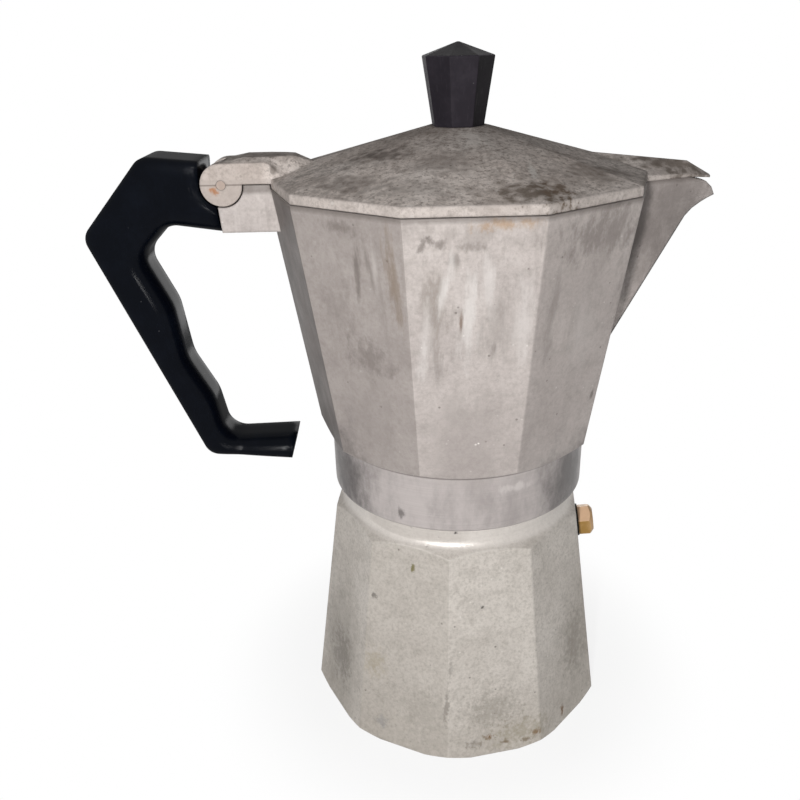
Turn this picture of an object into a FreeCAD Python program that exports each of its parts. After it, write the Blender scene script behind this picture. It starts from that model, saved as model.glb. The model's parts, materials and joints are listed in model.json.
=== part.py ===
import FreeCAD, Part
import math
import os
import re

import Sketcher

# Stove-top coffee pot: boiler below, collector screwed on it, hinged lid, side handle.
# Millimetres. The origin is the middle of the foot, +Z is up, +X points to the spout and
# the handle is on -X.

SIDES = 10
KNOB_SIDES = 8
HALF_SIDE = 180 / SIDES
HEX_SIDES = 6
SPRING_TURNS = 5
TOLERANCE = 0.01

SIZES = {
    # softened edges
    "casting_round": 0.8,
    "lid_round": 0.5,
    "knob_round": 0.4,
    "neck_round": 3,
    # boiler: radii of the ten-sided form are taken at its corners
    "base_radius": 52.2,
    "shoulder_radius": 41.9,
    "shoulder_height": 71.7,
    "shoulder_angle": 35,
    "foot_chamfer": 1.9,
    "boiler_turn": 10.4,
    "boiler_wall": 2.9,
    "boiler_floor": 3.5,
    "cavity_drop": 4.5,
    "boiler_height": 93.2,
    "neck_radius": 37.6,
    "neck_wall": 3.6,
    "neck_chamfer": 0.8,
    # safety valve, measured along its own axis from the boiler's flat
    "valve_height": 61.4,
    "boss_radius": 8,
    "boss_depth": 3.2,
    "washer_thick": 0.8,
    "washer_margin": 1.5,
    "hex_flats": 9.4,
    "hex_length": 5.0,
    "hex_chamfer": 1.1,
    "hex_bevel": 38,
    "hex_turn": 5.7,
    "shank_radius": 4,
    "valve_bore": 2.8,
    "valve_end": 2.2,
    "stem_radius": 1.1,
    "stem_gap": 0.3,
    "head_thick": 1.0,
    "cap_thick": 1.4,
    "cap_hole": 1.5,
    "spring_wire": 0.5,
    "spring_gap": 0.3,
    "fit_gap": 0.05,
    # funnel and its sieve
    "rim_thick": 1.2,
    "rim_gap": 0.4,
    "funnel_gap": 0.4,
    "funnel_wall": 0.9,
    "basket_depth": 23,
    "sieve_ledge": 2.5,
    "sieve_thick": 0.7,
    "cone_depth": 12,
    "tube_radius": 6,
    "tube_gap": 4.5,
    # seal between the two vessels
    "seal_radius": 36.75,
    "gasket_gap": 0.2,
    "gasket_bore": 28,
    "gasket_thick": 3.4,
    "plate_radius": 31.2,
    "plate_thick": 0.8,
    "plate_gap": 0.2,
    # collector
    "thread_gap": 0.3,
    "collar_radius": 41.2,
    "collar_skirt": 11.3,
    "collar_rise": 1.8,
    "foot_rise": 2.4,
    "collector_foot": 45,
    "collector_rim": 56.4,
    "vessel_height": 79,
    "vessel_wall": 2.6,
    "vessel_floor": 3,
    "hollow_margin": 3.5,
    "hollow_rise": 5,
    "column_flare": 16,
    "flare_height": 9,
    "column_radius": 7,
    "column_taper": 1.5,
    "column_height": 52,
    "column_bore": 4.2,
    "column_crown": 3,
    "outlet_width": 4.4,
    "outlet_height": 7,
    # spout, a wedge on the corner opposite the handle
    "spout_drop": 50.4,
    "spout_width": 17.2,
    "spout_reach": 18.4,
    "spout_start": 0.5,
    "throat_drop": 12,
    "bend_drop": 9.8,
    "bend_reach": 0.7,
    "flare_drop": 8,
    "flare_reach": 2.1,
    "curl_drop": 6.8,
    "curl_reach": 3.4,
    "tip_drop": 5.8,
    "tip_reach": 4.85,
    "lip_back": 9,
    "brow_back": 3.6,
    "brow_drop": 1.5,
    "nose_back": 1.3,
    "nose_drop": 3.4,
    "spout_wall": 2,
    "channel_start": 12.6,
    "channel_back": 10.4,
    # hinge, bracket and tang
    "hinge_reach": 11.1,
    "hinge_rise": 1.4,
    "hinge_gap": 0.4,
    "ear_radius": 5.9,
    "ear_width": 4.6,
    "tongue_width": 7.2,
    "knuckle_radius": 5.5,
    "pin_radius": 1.3,
    "bracket_height": 12,
    "pad_gap": 0.4,
    "bracket_back": 2,
    "bracket_rake": 1,
    "tang_length": 18,
    "tang_drop": 0.5,
    "tang_height": 6.5,
    # lid
    "lid_gap": 0.2,
    "lid_inset": 0.3,
    "lid_rim": 2.5,
    "lid_rise": 12.7,
    "lid_seat": 9,
    "lid_wall": 2,
    "lid_edge": 3,
    "arm_crown": 1.2,
    "arm_bevel": 3.1,
    "arm_ramp": 6.5,
    "arm_root": 54.2,
    "arm_hip": 50,
    "arm_hip_crown": 9,
    "arm_brow": 47.2,
    "arm_brow_width": 14,
    "arm_brow_crown": 6,
    "arm_tip": 42,
    "arm_tip_width": 5,
    "arm_tip_crown": 2,
    "arm_sink": 0.3,
    "beak_root": 16.85,
    "beak_root_width": 32.7,
    "beak_ridge": 4.54,
    "beak_brow": 7,
    "beak_brow_width": 9.5,
    "beak_brow_eave": 0.8,
    "beak_brow_ridge": 4,
    "beak_reach": 18.2,
    "beak_tip_width": 2.6,
    "beak_tip_eave": 0.6,
    "beak_tip_ridge": 0.85,
    "beak_droop": 0.8,
    "beak_wall": 1.7,
    # knob and what holds it
    "knob_foot": 7.6,
    "knob_eave": 10.5,
    "knob_height": 18.4,
    "knob_point": 3.5,
    "knob_tip": 0.35,
    "knob_turn": 27.9,
    "insert_radius": 3.2,
    "insert_length": 10,
    "knob_screw_radius": 1.9,
    "knob_screw_length": 12.4,
    "screw_head_radius": 3.6,
    "screw_head_height": 2.2,
    "head_bevel": 0.7,
    "knob_washer_radius": 5,
    "knob_washer_thick": 0.8,
    # handle, measured from the hinge axis
    "handle_width": 17.6,
    "handle_rise": 8.1,
    "stop_rise": 6.5,
    "arm_flat": 22.2,
    "knee_reach": 41.7,
    "knee_drop": 14,
    "heel_reach": 13.8,
    "heel_drop": 85.5,
    "foot_length": 26.6,
    "foot_dip": 2.4,
    "foot_end": 7.4,
    "foot_rake": 1.9,
    "arm_front": 13.9,
    "arm_arch": 2.4,
    "arm_span": 17.4,
    "palm_share": 0.152,
    "palm_width": 12.1,
    "swell_share": 0.376,
    "swell_width": 12.9,
    "waist_share": 0.6,
    "waist_width": 8.5,
    "low_share": 0.79,
    "low_width": 9.9,
    "instep_share": 0.974,
    "instep_width": 7.2,
    "grip_round": 5.5,
    "back_round": 1.6,
    "corner_round": 5,
    "elbow_round": 6,
    "wave_round": 14,
    "stop_gap": 0.5,
    "stop_lean": 0.5,
    "tang_fit": 0.2,
    "handle_screw_radius": 1.9,
    "handle_screw_reach": 11,
    "handle_web": 2,
    "handle_head_radius": 3.3,
    "handle_head_height": 1.8,
    "handle_washer_thick": 0.6,
    "handle_recess_gap": 0.3,
    # how far a cutting shape runs past the face it opens
    "cut_margin": 1,
}

doc = FreeCAD.newDocument("moka_pot")
sheet = doc.addObject("Spreadsheet::Sheet", "Sizes")
for row, (alias, size) in enumerate(SIZES.items(), 1):
    sheet.set(f"A{row}", alias)
    sheet.set(f"B{row}", str(size))
    sheet.setAlias(f"B{row}", alias)
doc.recompute()


# Expressions and values

def formula(text):
    """Point every size named in the text at its cell in the sheet."""
    return re.sub(r"\b[a-z]+(?:_[a-z]+)+\b", lambda name: "Sizes." + name[0], str(text))


def value(text):
    """The number that an expression gives with the present sizes."""
    return float(sheet.evalExpression(formula(text)))


def bind(thing, prop, text):
    thing.setExpression(prop, formula(text))


# Sketches

def origin_plane(body, role):
    return next(f for f in body.Origin.OriginFeatures if f.Role == role)


def new_sketch(body, name, role, offset=None):
    """An empty sketch on an origin plane, moved along the plane's normal by an offset."""
    sketch = body.newObject("Sketcher::SketchObject", name)
    sketch.AttachmentSupport = [(origin_plane(body, role), "")]
    sketch.MapMode = "FlatFace"
    if offset is not None:
        bind(sketch, "AttachmentOffset.Base.z", offset)
    return sketch


def outline(body, name, role, corners, offset=None):
    """A closed outline of straight lines whose corners are all bound to the sheet."""
    sketch = new_sketch(body, name, role, offset)
    points = [FreeCAD.Vector(value(x), value(y), 0) for x, y in corners]
    count = len(points)
    for i, start in enumerate(points):
        sketch.addGeometry(Part.LineSegment(start, points[(i + 1) % count]), False)
    for i in range(count):
        sketch.addConstraint(Sketcher.Constraint("Coincident", i, 2, (i + 1) % count, 1))
    for i, (corner, point) in enumerate(zip(corners, points)):
        for kind, text, number in zip(("DistanceX", "DistanceY"), corner, (point.x, point.y)):
            made = sketch.addConstraint(Sketcher.Constraint(kind, -1, 1, i, 1, number))
            bind(sketch, f"Constraints[{made}]", text)
    return sketch


def round_outline(body, name, role, centre, radius, offset=None):
    """A circle whose centre and radius are bound to the sheet."""
    sketch = new_sketch(body, name, role, offset)
    x, y = (value(text) for text in centre)
    circle = Part.Circle(FreeCAD.Vector(x, y, 0), FreeCAD.Vector(0, 0, 1), value(radius))
    sketch.addGeometry(circle, False)
    made = sketch.addConstraint(Sketcher.Constraint("Radius", 0, value(radius)))
    bind(sketch, f"Constraints[{made}]", radius)
    for kind, text, number in zip(("DistanceX", "DistanceY"), centre, (x, y)):
        made = sketch.addConstraint(Sketcher.Constraint(kind, -1, 1, 0, 3, number))
        bind(sketch, f"Constraints[{made}]", text)
    return sketch


def polygon(radius, sides, turn=0):
    """Corners of a regular outline, the first one turned from +X."""
    steps = [f"({turn} + {360 / sides} * {i})" for i in range(sides)]
    return [(f"({radius}) * cos{step}", f"({radius}) * sin{step}") for step in steps]


# Features

def new_body(name):
    body = doc.addObject("PartDesign::Body", name)
    body.Label = name
    return body


def lathe(body, name, corners, cut=False):
    """Turn an outline of radius and height pairs about the upright axis."""
    sketch = outline(body, name + "_outline", "XZ_Plane", corners)
    turned = body.newObject("PartDesign::Groove" if cut else "PartDesign::Revolution", name)
    turned.Profile = sketch
    turned.ReferenceAxis = (sketch, ["V_Axis"])
    turned.Angle = 360
    doc.recompute()
    return turned


def both_ways(body, name, sketch, length, cut=False):
    """Push an outline by half the length to each side of its plane."""
    pushed = body.newObject("PartDesign::Pocket" if cut else "PartDesign::Pad", name)
    pushed.Profile = sketch
    pushed.SideType = "Symmetric"
    bind(pushed, "Length", length)
    doc.recompute()
    return pushed


def loft(body, name, sections, cut=False):
    """Straight-walled form through sections that have as many corners each."""
    kind = "PartDesign::SubtractiveLoft" if cut else "PartDesign::AdditiveLoft"
    lofted = body.newObject(kind, name)
    lofted.Profile = sections[0]
    lofted.Sections = sections[1:]
    lofted.Ruled = True
    doc.recompute()
    return lofted


def prism(body, name, radius, low, high, sides, turn=0):
    """Upright regular prism between two levels, sized by its corner radius."""
    upright = body.newObject("PartDesign::Pad", name)
    upright.Profile = outline(body, name + "_outline", "XY_Plane", polygon(radius, sides, turn), low)
    bind(upright, "Length", f"({high}) - ({low})")
    doc.recompute()
    return upright


def drafted_prism(body, name, radius, low, end_radius, high, sides, turn=0):
    """Regular prism with its flats leaned, so that its corners reach another radius at the top."""
    upright = prism(body, name + "_prism", radius, low, high, sides, turn)
    level = body.newObject("PartDesign::Plane", name + "_level")
    level.AttachmentSupport = [(origin_plane(body, "XY_Plane"), "")]
    level.MapMode = "FlatFace"
    bind(level, "AttachmentOffset.Base.z", low)
    flats = [
        f"Face{i + 1}" for i, face in enumerate(upright.Shape.Faces)
        if abs(face.normalAt(0, 0).z) < TOLERANCE and face.BoundBox.ZMin > value(low) - TOLERANCE
    ]
    lean = body.newObject("PartDesign::Draft", name)
    lean.Base = (upright, flats)
    lean.NeutralPlane = (level, [""])
    grows = value(end_radius) > value(radius)
    lean.Reversed = grows
    spread = f"({end_radius}) - ({radius})" if grows else f"({radius}) - ({end_radius})"
    bind(lean, "Angle", f"atan(({spread}) * cos({180 / sides}) / (({high}) - ({low})))")
    doc.recompute()
    return lean


def subtract(body, name, tool):
    """Cut another body's form out of this one."""
    cut = body.newObject("PartDesign::Boolean", name)
    cut.Type = "Cut"
    cut.Group = [tool]
    doc.recompute()
    return cut


def round_edges(body, name, base, edges, radius):
    """Fillet the edges of the base feature that are given by index."""
    fillet = body.newObject("PartDesign::Fillet", name)
    fillet.Base = (base, [f"Edge{i + 1}" for i in edges])
    bind(fillet, "Radius", radius)
    doc.recompute()
    return fillet


def sloped_edges(shape):
    """Indices of the edges that don't lie level."""
    return [i for i, edge in enumerate(shape.Edges) if edge.BoundBox.ZLength > TOLERANCE]


def level_edges(shape, height):
    """Indices of the edges that lie at one height."""
    height = value(height)
    spans = [(edge.BoundBox.ZMin, edge.BoundBox.ZMax) for edge in shape.Edges]
    return [i for i, span in enumerate(spans) if max(abs(z - height) for z in span) < TOLERANCE]


# Levels and places that several pieces share

FLAT = f"cos({HALF_SIDE})"
LEAN = "((base_radius - shoulder_radius) / shoulder_height)"
SHOULDER_TOP = "(shoulder_height + (shoulder_radius - neck_radius) * tan(shoulder_angle))"
NECK_BORE = "(neck_radius - neck_wall)"
BASKET_RADIUS = f"({NECK_BORE} - funnel_gap)"
RIM_TOP = "(boiler_height + rim_thick)"
SEAT = f"({RIM_TOP} + gasket_thick)"
COLLAR_BOTTOM = "(boiler_height - collar_skirt)"
COLLAR_TOP = f"({SEAT} + collar_rise)"
FOOT_LEVEL = f"({COLLAR_TOP} + foot_rise)"
PLATE_TOP = f"({SEAT} + plate_thick)"
FLOOR_TOP = f"({PLATE_TOP} + vessel_floor)"
RIM = f"({SEAT} + vessel_height)"
LID_RADIUS = "(collector_rim - lid_inset)"
LID_LOW = f"({RIM} + lid_gap)"
LID_EAVE = f"({LID_LOW} + lid_rim)"
LID_TOP = f"({LID_EAVE} + lid_rise)"
HINGE_X = "(-collector_rim - hinge_reach)"
HINGE_Z = f"({RIM} + hinge_rise)"
HINGE = (HINGE_X, HINGE_Z)
BRACKET_WIDTH = "(tongue_width + 2 * hinge_gap + 2 * ear_width)"
BRACKET_BACK = f"({HINGE_X} - bracket_back)"
TANG_TOP = f"({HINGE_Z} - tang_drop)"
TANG_BOTTOM = f"({TANG_TOP} - tang_height)"
TANG_END = f"({HINGE_X} - tang_length)"
HANDLE_SCREW_X = f"({HINGE_X} - handle_screw_reach)"
HANDLE_SEAT = f"({TANG_BOTTOM} - tang_fit - handle_web)"
SCREW_SEAT = f"({LID_TOP} - lid_wall - knob_washer_thick)"


def boiler_corner(height):
    return f"(base_radius - {LEAN} * ({height}))"


def vessel_corner(height):
    return (
        f"(collector_foot + (collector_rim - collector_foot) * ({height} - {FOOT_LEVEL})"
        f" / ({RIM} - {FOOT_LEVEL}))"
    )


# The valve's own frame: its axis stands square on the boiler's flat beside +X.
VALVE_TURN = f"(boiler_turn - {HALF_SIDE})"
VALVE_REACH = f"({boiler_corner('valve_height')} * {FLAT})"
VALVE_PLACE = (
    f"placement(vector({VALVE_REACH} * cos({VALVE_TURN}); {VALVE_REACH} * sin({VALVE_TURN});"
    f" valve_height); rotation({VALVE_TURN}; 90 - atan({LEAN} * {FLAT}) / 1 deg; 0))"
)
HEX_END = "(washer_thick + hex_length)"
VALVE_INNER = "(-boiler_wall - boss_depth)"
CAP_TOP = f"({VALVE_INNER} + cap_thick)"
HEAD_TOP = f"({CAP_TOP} + head_thick)"
VALVE_SHOULDER = f"({HEX_END} - valve_end)"


# Boiler

def make_boiler():
    body = new_body("boiler_casting")
    cavity_top = "(shoulder_height - cavity_drop)"
    cavity_low = f"({boiler_corner('boiler_floor')} * {FLAT} - boiler_wall)"
    cavity_high = f"({boiler_corner(cavity_top)} * {FLAT} - boiler_wall)"
    cavity_neck = f"({cavity_top} + ({cavity_high} - {NECK_BORE}) * tan(shoulder_angle))"
    sides = drafted_prism(body, "sides", "base_radius", 0, boiler_corner(SHOULDER_TOP), SHOULDER_TOP,
                          SIDES, "boiler_turn")
    round_edges(body, "soft_corners", sides, sloped_edges(sides.Shape), "casting_round")
    spread = "(base_radius - shoulder_radius)"
    lathe(body, "shoulder", [
        ("neck_radius", SHOULDER_TOP),
        ("base_radius", f"shoulder_height - {spread} * tan(shoulder_angle)"),
        ("base_radius", f"{SHOULDER_TOP} + cut_margin"),
        ("neck_radius", f"{SHOULDER_TOP} + cut_margin"),
    ], cut=True)
    lathe(body, "foot", [
        ("base_radius - foot_chamfer - cut_margin", "-cut_margin"),
        ("base_radius + cut_margin", "-cut_margin"),
        ("base_radius + cut_margin", "foot_chamfer + cut_margin"),
    ], cut=True)
    neck = lathe(body, "neck", [
        (0, cavity_top),
        ("neck_radius", cavity_top),
        ("neck_radius", "boiler_height - neck_chamfer"),
        ("neck_radius - neck_chamfer", "boiler_height"),
        (0, "boiler_height"),
    ])
    round_edges(body, "soft_neck", neck, level_edges(neck.Shape, SHOULDER_TOP), "neck_round")
    lathe(body, "cavity", [
        (0, "boiler_floor"),
        (cavity_low, "boiler_floor"),
        (cavity_high, cavity_top),
        (NECK_BORE, cavity_neck),
        (NECK_BORE, "boiler_height + cut_margin"),
        (0, "boiler_height + cut_margin"),
    ], cut=True)
    boss = valve_cylinder("valve_boss", "boss_radius", VALVE_INNER, "-boiler_wall / 2")
    inside = f"{VALVE_INNER} - cut_margin"
    hole = valve_cylinder("valve_hole", "shank_radius + fit_gap", inside, "cut_margin")
    bossed = doc.addObject("Part::Fuse", "boiler_bossed")
    bossed.Base = body
    bossed.Tool = boss
    drilled = doc.addObject("Part::Cut", "boiler_drilled")
    drilled.Base = bossed
    drilled.Tool = hole
    return drilled


def valve_cylinder(name, radius, low, high):
    """Cylinder along the valve's axis between two distances from the boiler's flat."""
    cylinder = doc.addObject("Part::Cylinder", name)
    bind(cylinder, "Radius", radius)
    bind(cylinder, "Height", f"({high}) - ({low})")
    along = f"placement(vector(0; 0; {low}); rotation(0; 0; 0))"
    bind(cylinder, "Placement", f"{VALVE_PLACE} * {along}")
    return cylinder


# Safety valve

def make_valve_washer():
    body = new_body("valve_washer")
    outer = "hex_flats / 2 + washer_margin / 2"
    inner = "shank_radius + fit_gap"
    lathe(body, "ring", [(inner, 0), (outer, 0), (outer, "washer_thick"), (inner, "washer_thick")])
    bind(body, "Placement", VALVE_PLACE)
    return body


def make_valve_body():
    body = new_body("valve_body")
    corner = f"(hex_flats / 2 / cos({180 / HEX_SIDES}))"
    prism(body, "hexagon", corner, "washer_thick", HEX_END, HEX_SIDES, "hex_turn")
    ring = "(hex_flats / 2 - hex_chamfer)"
    bevel_end = f"{HEX_END} - ({corner} - {ring}) * tan(hex_bevel)"
    lathe(body, "bevel", [
        (ring, f"{HEX_END} + cut_margin"),
        (ring, HEX_END),
        (corner, bevel_end),
        (f"{corner} + cut_margin", bevel_end),
        (f"{corner} + cut_margin", f"{HEX_END} + cut_margin"),
    ], cut=True)
    lathe(body, "shank", [
        (0, VALVE_INNER),
        ("shank_radius", VALVE_INNER),
        ("shank_radius", "washer_thick"),
        (0, "washer_thick"),
    ])
    lathe(body, "bore", [
        (0, f"{VALVE_INNER} - cut_margin"),
        ("valve_bore", f"{VALVE_INNER} - cut_margin"),
        ("valve_bore", VALVE_SHOULDER),
        ("stem_radius + stem_gap", VALVE_SHOULDER),
        ("stem_radius + stem_gap", f"{HEX_END} + cut_margin"),
        (0, f"{HEX_END} + cut_margin"),
    ], cut=True)
    bind(body, "Placement", VALVE_PLACE)
    return body


def make_valve_cap():
    body = new_body("valve_cap")
    outer = "valve_bore - fit_gap"
    lathe(body, "ring", [
        ("cap_hole", VALVE_INNER),
        (outer, VALVE_INNER),
        (outer, CAP_TOP),
        ("cap_hole", CAP_TOP),
    ])
    bind(body, "Placement", VALVE_PLACE)
    return body


def make_valve_plunger():
    body = new_body("valve_plunger")
    head = "valve_bore - stem_gap"
    lathe(body, "poppet", [
        (0, CAP_TOP),
        (head, CAP_TOP),
        (head, HEAD_TOP),
        ("stem_radius", HEAD_TOP),
        ("stem_radius", f"{HEX_END} - stem_gap"),
        (0, f"{HEX_END} - stem_gap"),
    ])
    bind(body, "Placement", VALVE_PLACE)
    return body


def biarc(start, start_way, end, end_way):
    """Two arcs that leave start and reach end along the given directions."""
    chord = end - start
    ways = start_way + end_way
    bend = 2 * (1 - start_way.dot(end_way))
    along = chord.dot(ways)
    reach = (math.sqrt(along * along + bend * chord.dot(chord)) - along) / bend
    join = (start + end + (start_way - end_way) * reach) * 0.5
    return [arc_along(start, start_way, join), arc_along(end, end_way * -1, join)]


def arc_along(start, way, end):
    """Arc from start, leaving along a direction, to end."""
    chord = end - start
    forward = FreeCAD.Vector(chord).normalize()
    aside = way - forward * way.dot(forward)
    tilt = math.acos(way.dot(forward))
    rise = aside.normalize() * (chord.Length / 2 * math.tan(tilt / 2))
    return Part.Arc(start, start + chord * 0.5 + rise, end).toShape()


def make_valve_spring():
    """One wire wound as biarcs of a quarter turn, pressed between plunger and shoulder."""
    wire = value("spring_wire")
    coil = value("valve_bore - spring_gap") - wire / 2
    low = value(HEAD_TOP) + wire / 2
    high = value(VALVE_SHOULDER) - wire / 2
    quarters = 4 * SPRING_TURNS
    rise = (high - low) / quarters

    def at(step):
        turn = step * math.pi / 2
        point = FreeCAD.Vector(coil * math.cos(turn), coil * math.sin(turn), low + rise * step)
        way = FreeCAD.Vector(-coil * math.sin(turn), coil * math.cos(turn), rise * 2 / math.pi)
        return point, way.normalize()

    edges = []
    for step in range(quarters):
        edges += biarc(*at(step), *at(step + 1))
    path = Part.Wire(Part.sortEdges(edges)[0])
    point, way = at(0)
    section = Part.Wire(Part.Circle(point, way, wire / 2).toShape())
    spring = doc.addObject("Part::Feature", "valve_spring")
    spring.Shape = path.makePipeShell([section], True, False)
    bind(spring, "Placement", VALVE_PLACE)
    print("valve_spring: gap between turns", round(4 * rise - wire, 2), "mm")
    return spring


# Funnel and seal

LEDGE = "(boiler_height - basket_depth)"
LEDGE_RADIUS = f"({BASKET_RADIUS} - funnel_wall - sieve_ledge)"


def make_funnel():
    body = new_body("funnel")
    tube_end = "boiler_floor + tube_gap"
    cone_end = f"({LEDGE} - cone_depth)"
    inside = f"({BASKET_RADIUS} - funnel_wall)"
    lathe(body, "spun_form", [
        ("seal_radius - rim_gap", "boiler_height"),
        ("seal_radius - rim_gap", RIM_TOP),
        (inside, RIM_TOP),
        (inside, LEDGE),
        (LEDGE_RADIUS, LEDGE),
        ("tube_radius - funnel_wall", cone_end),
        ("tube_radius - funnel_wall", tube_end),
        ("tube_radius", tube_end),
        ("tube_radius", f"{cone_end} - funnel_wall / 2"),
        (LEDGE_RADIUS, f"{LEDGE} - funnel_wall"),
        (BASKET_RADIUS, f"{LEDGE} - funnel_wall"),
        (BASKET_RADIUS, "boiler_height"),
    ])
    return body


def make_funnel_sieve():
    body = new_body("funnel_sieve")
    radius = f"({BASKET_RADIUS} - funnel_wall - fit_gap)"
    top = f"{LEDGE} + sieve_thick"
    lathe(body, "disc", [(0, LEDGE), (radius, LEDGE), (radius, top), (0, top)])
    return body


def make_gasket():
    body = new_body("gasket")
    outer = "seal_radius - gasket_gap"
    inner = "gasket_bore"
    lathe(body, "ring", [(inner, RIM_TOP), (outer, RIM_TOP), (outer, SEAT), (inner, SEAT)])
    return body


def make_filter_plate():
    body = new_body("filter_plate")
    lathe(body, "disc", [(0, SEAT), ("plate_radius", SEAT), ("plate_radius", PLATE_TOP), (0, PLATE_TOP)])
    return body


# Collector

SPOUT_FOOT = f"({RIM} - spout_drop)"
THROAT_LEVEL = f"({RIM} - throat_drop)"
BEND_LEVEL = f"({RIM} - bend_drop)"
FLARE_LEVEL = f"({RIM} - flare_drop)"
CURL_LEVEL = f"({RIM} - curl_drop)"
TIP_LEVEL = f"({RIM} - tip_drop)"


def spout_half_width(height):
    return f"(spout_width / 2 * ({height} - {SPOUT_FOOT}) / spout_drop)"


def spout_keel(height, lip):
    """Distance of the keel from the upright axis: a straight slope, and the lip past it."""
    straight = f"(spout_reach * ({height} - {SPOUT_FOOT}) / spout_drop)"
    return f"({vessel_corner(height)} + {straight} + {lip})"


def spout_section(body, name, height, lip):
    """Wedge across the corner, its root on the vessel's two flats."""
    half = spout_half_width(height)
    root = f"({vessel_corner(height)} - vessel_wall - {half} * tan({HALF_SIDE}))"
    corners = [(spout_keel(height, lip), 0), (root, half), (root, f"-{half}")]
    return outline(body, name, "XY_Plane", corners, height)


def channel_section(body, name, height, lip):
    """The hollow of the wedge: its two walls moved in by the wall, and open to the vessel."""
    half = spout_half_width(height)
    root = f"({vessel_corner(height)} - {half} * tan({HALF_SIDE}))"
    keel = spout_keel(height, lip)
    slope = f"({half} / ({keel} - {root}))"
    inner_keel = f"({keel} - spout_wall / sin(atan({slope})))"
    back = f"({root} - channel_back)"
    side = f"(({inner_keel} - {back}) * {slope})"
    corners = [(inner_keel, 0), (back, side), (back, f"-{side}")]
    return outline(body, name, "XY_Plane", corners, height)


def make_collector():
    body = new_body("collector")
    low = f"({COLLAR_TOP} - collar_rise)"
    sides = drafted_prism(body, "sides", vessel_corner(low), low, "collector_rim", RIM, SIDES)
    round_edges(body, "soft_corners", sides, sloped_edges(sides.Shape), "casting_round")
    under = "(foot_rise / (collector_foot - collar_radius))"
    lathe(body, "foot", [
        ("collar_radius", COLLAR_TOP),
        ("collector_rim", f"{COLLAR_TOP} + (collector_rim - collar_radius) * {under}"),
        ("collector_rim", f"{low} - cut_margin"),
        ("collar_radius", f"{low} - cut_margin"),
    ], cut=True)
    lathe(body, "collar", [
        (0, COLLAR_BOTTOM),
        ("collar_radius", COLLAR_BOTTOM),
        ("collar_radius", COLLAR_TOP),
        (0, COLLAR_TOP),
    ])
    add_spout(body)
    add_bracket(body)
    subtract(body, "inside", make_collector_hollow())
    cut_spout_channel(body)
    add_column(body)
    add_tongue(body)
    return body


def make_collector_hollow():
    """Inside of the vessel, from its floor to past its rim."""
    body = new_body("collector_hollow")
    inner = f"(vessel_wall / {FLAT})"
    top = f"({RIM} + cut_margin)"
    foot_radius = f"({vessel_corner(FLOOR_TOP)} - {inner})"
    drafted_prism(body, "hollow", foot_radius, FLOOR_TOP, f"({vessel_corner(top)} - {inner})", top, SIDES)
    return body


def add_bracket(body):
    """Block that carries the hinge, cut back above the rim to let the lid down beside it."""
    pad = f"({HINGE_Z} - lid_gap / 2)"
    low = f"({RIM} - bracket_height)"
    block = outline(body, "bracket_outline", "XZ_Plane", [
        ("-collector_foot", low),
        ("-collector_foot", pad),
        (BRACKET_BACK, pad),
        (f"{BRACKET_BACK} + bracket_rake", low),
    ])
    both_ways(body, "bracket", block, BRACKET_WIDTH)
    corners = polygon(f"({LID_RADIUS} + pad_gap)", SIDES)
    room = outline(body, "lid_room_outline", "XY_Plane", corners, HINGE_Z)
    both_ways(body, "lid_room", room, "2 * hinge_rise", cut=True)


# Heights of the spout above its foot, each with what the lip adds to the straight keel.
SPOUT_LEVELS = [
    (THROAT_LEVEL, 0),
    (BEND_LEVEL, "bend_reach"),
    (FLARE_LEVEL, "flare_reach"),
    (CURL_LEVEL, "curl_reach"),
    (TIP_LEVEL, "tip_reach"),
    (RIM, "tip_reach"),
]


def add_spout(body):
    levels = [(f"({SPOUT_FOOT} + spout_start)", 0)] + SPOUT_LEVELS
    sections = [spout_section(body, f"spout_{i}", *level) for i, level in enumerate(levels)]
    loft(body, "spout", sections)


def cut_spout_channel(body):
    """Hollow of the spout, and the rounded brow that lets the lip fall to its tip."""
    levels = [(f"({SPOUT_FOOT} + channel_start)", 0)] + SPOUT_LEVELS
    sections = [channel_section(body, f"channel_{i}", *level) for i, level in enumerate(levels)]
    loft(body, "channel", sections, cut=True)
    tip = spout_keel(TIP_LEVEL, "tip_reach")
    beyond = f"({spout_keel(RIM, 'tip_reach')} + cut_margin)"
    above = f"({RIM} + cut_margin)"
    brow = outline(body, "brow_outline", "XZ_Plane", [
        (f"{tip} - lip_back", above),
        (f"{tip} - lip_back", RIM),
        (f"{tip} - brow_back", f"{RIM} - brow_drop"),
        (f"{tip} - nose_back", f"{RIM} - nose_drop"),
        (tip, TIP_LEVEL),
        (beyond, TIP_LEVEL),
        (beyond, above),
    ])
    both_ways(body, "brow", brow, "spout_width", cut=True)


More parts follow.
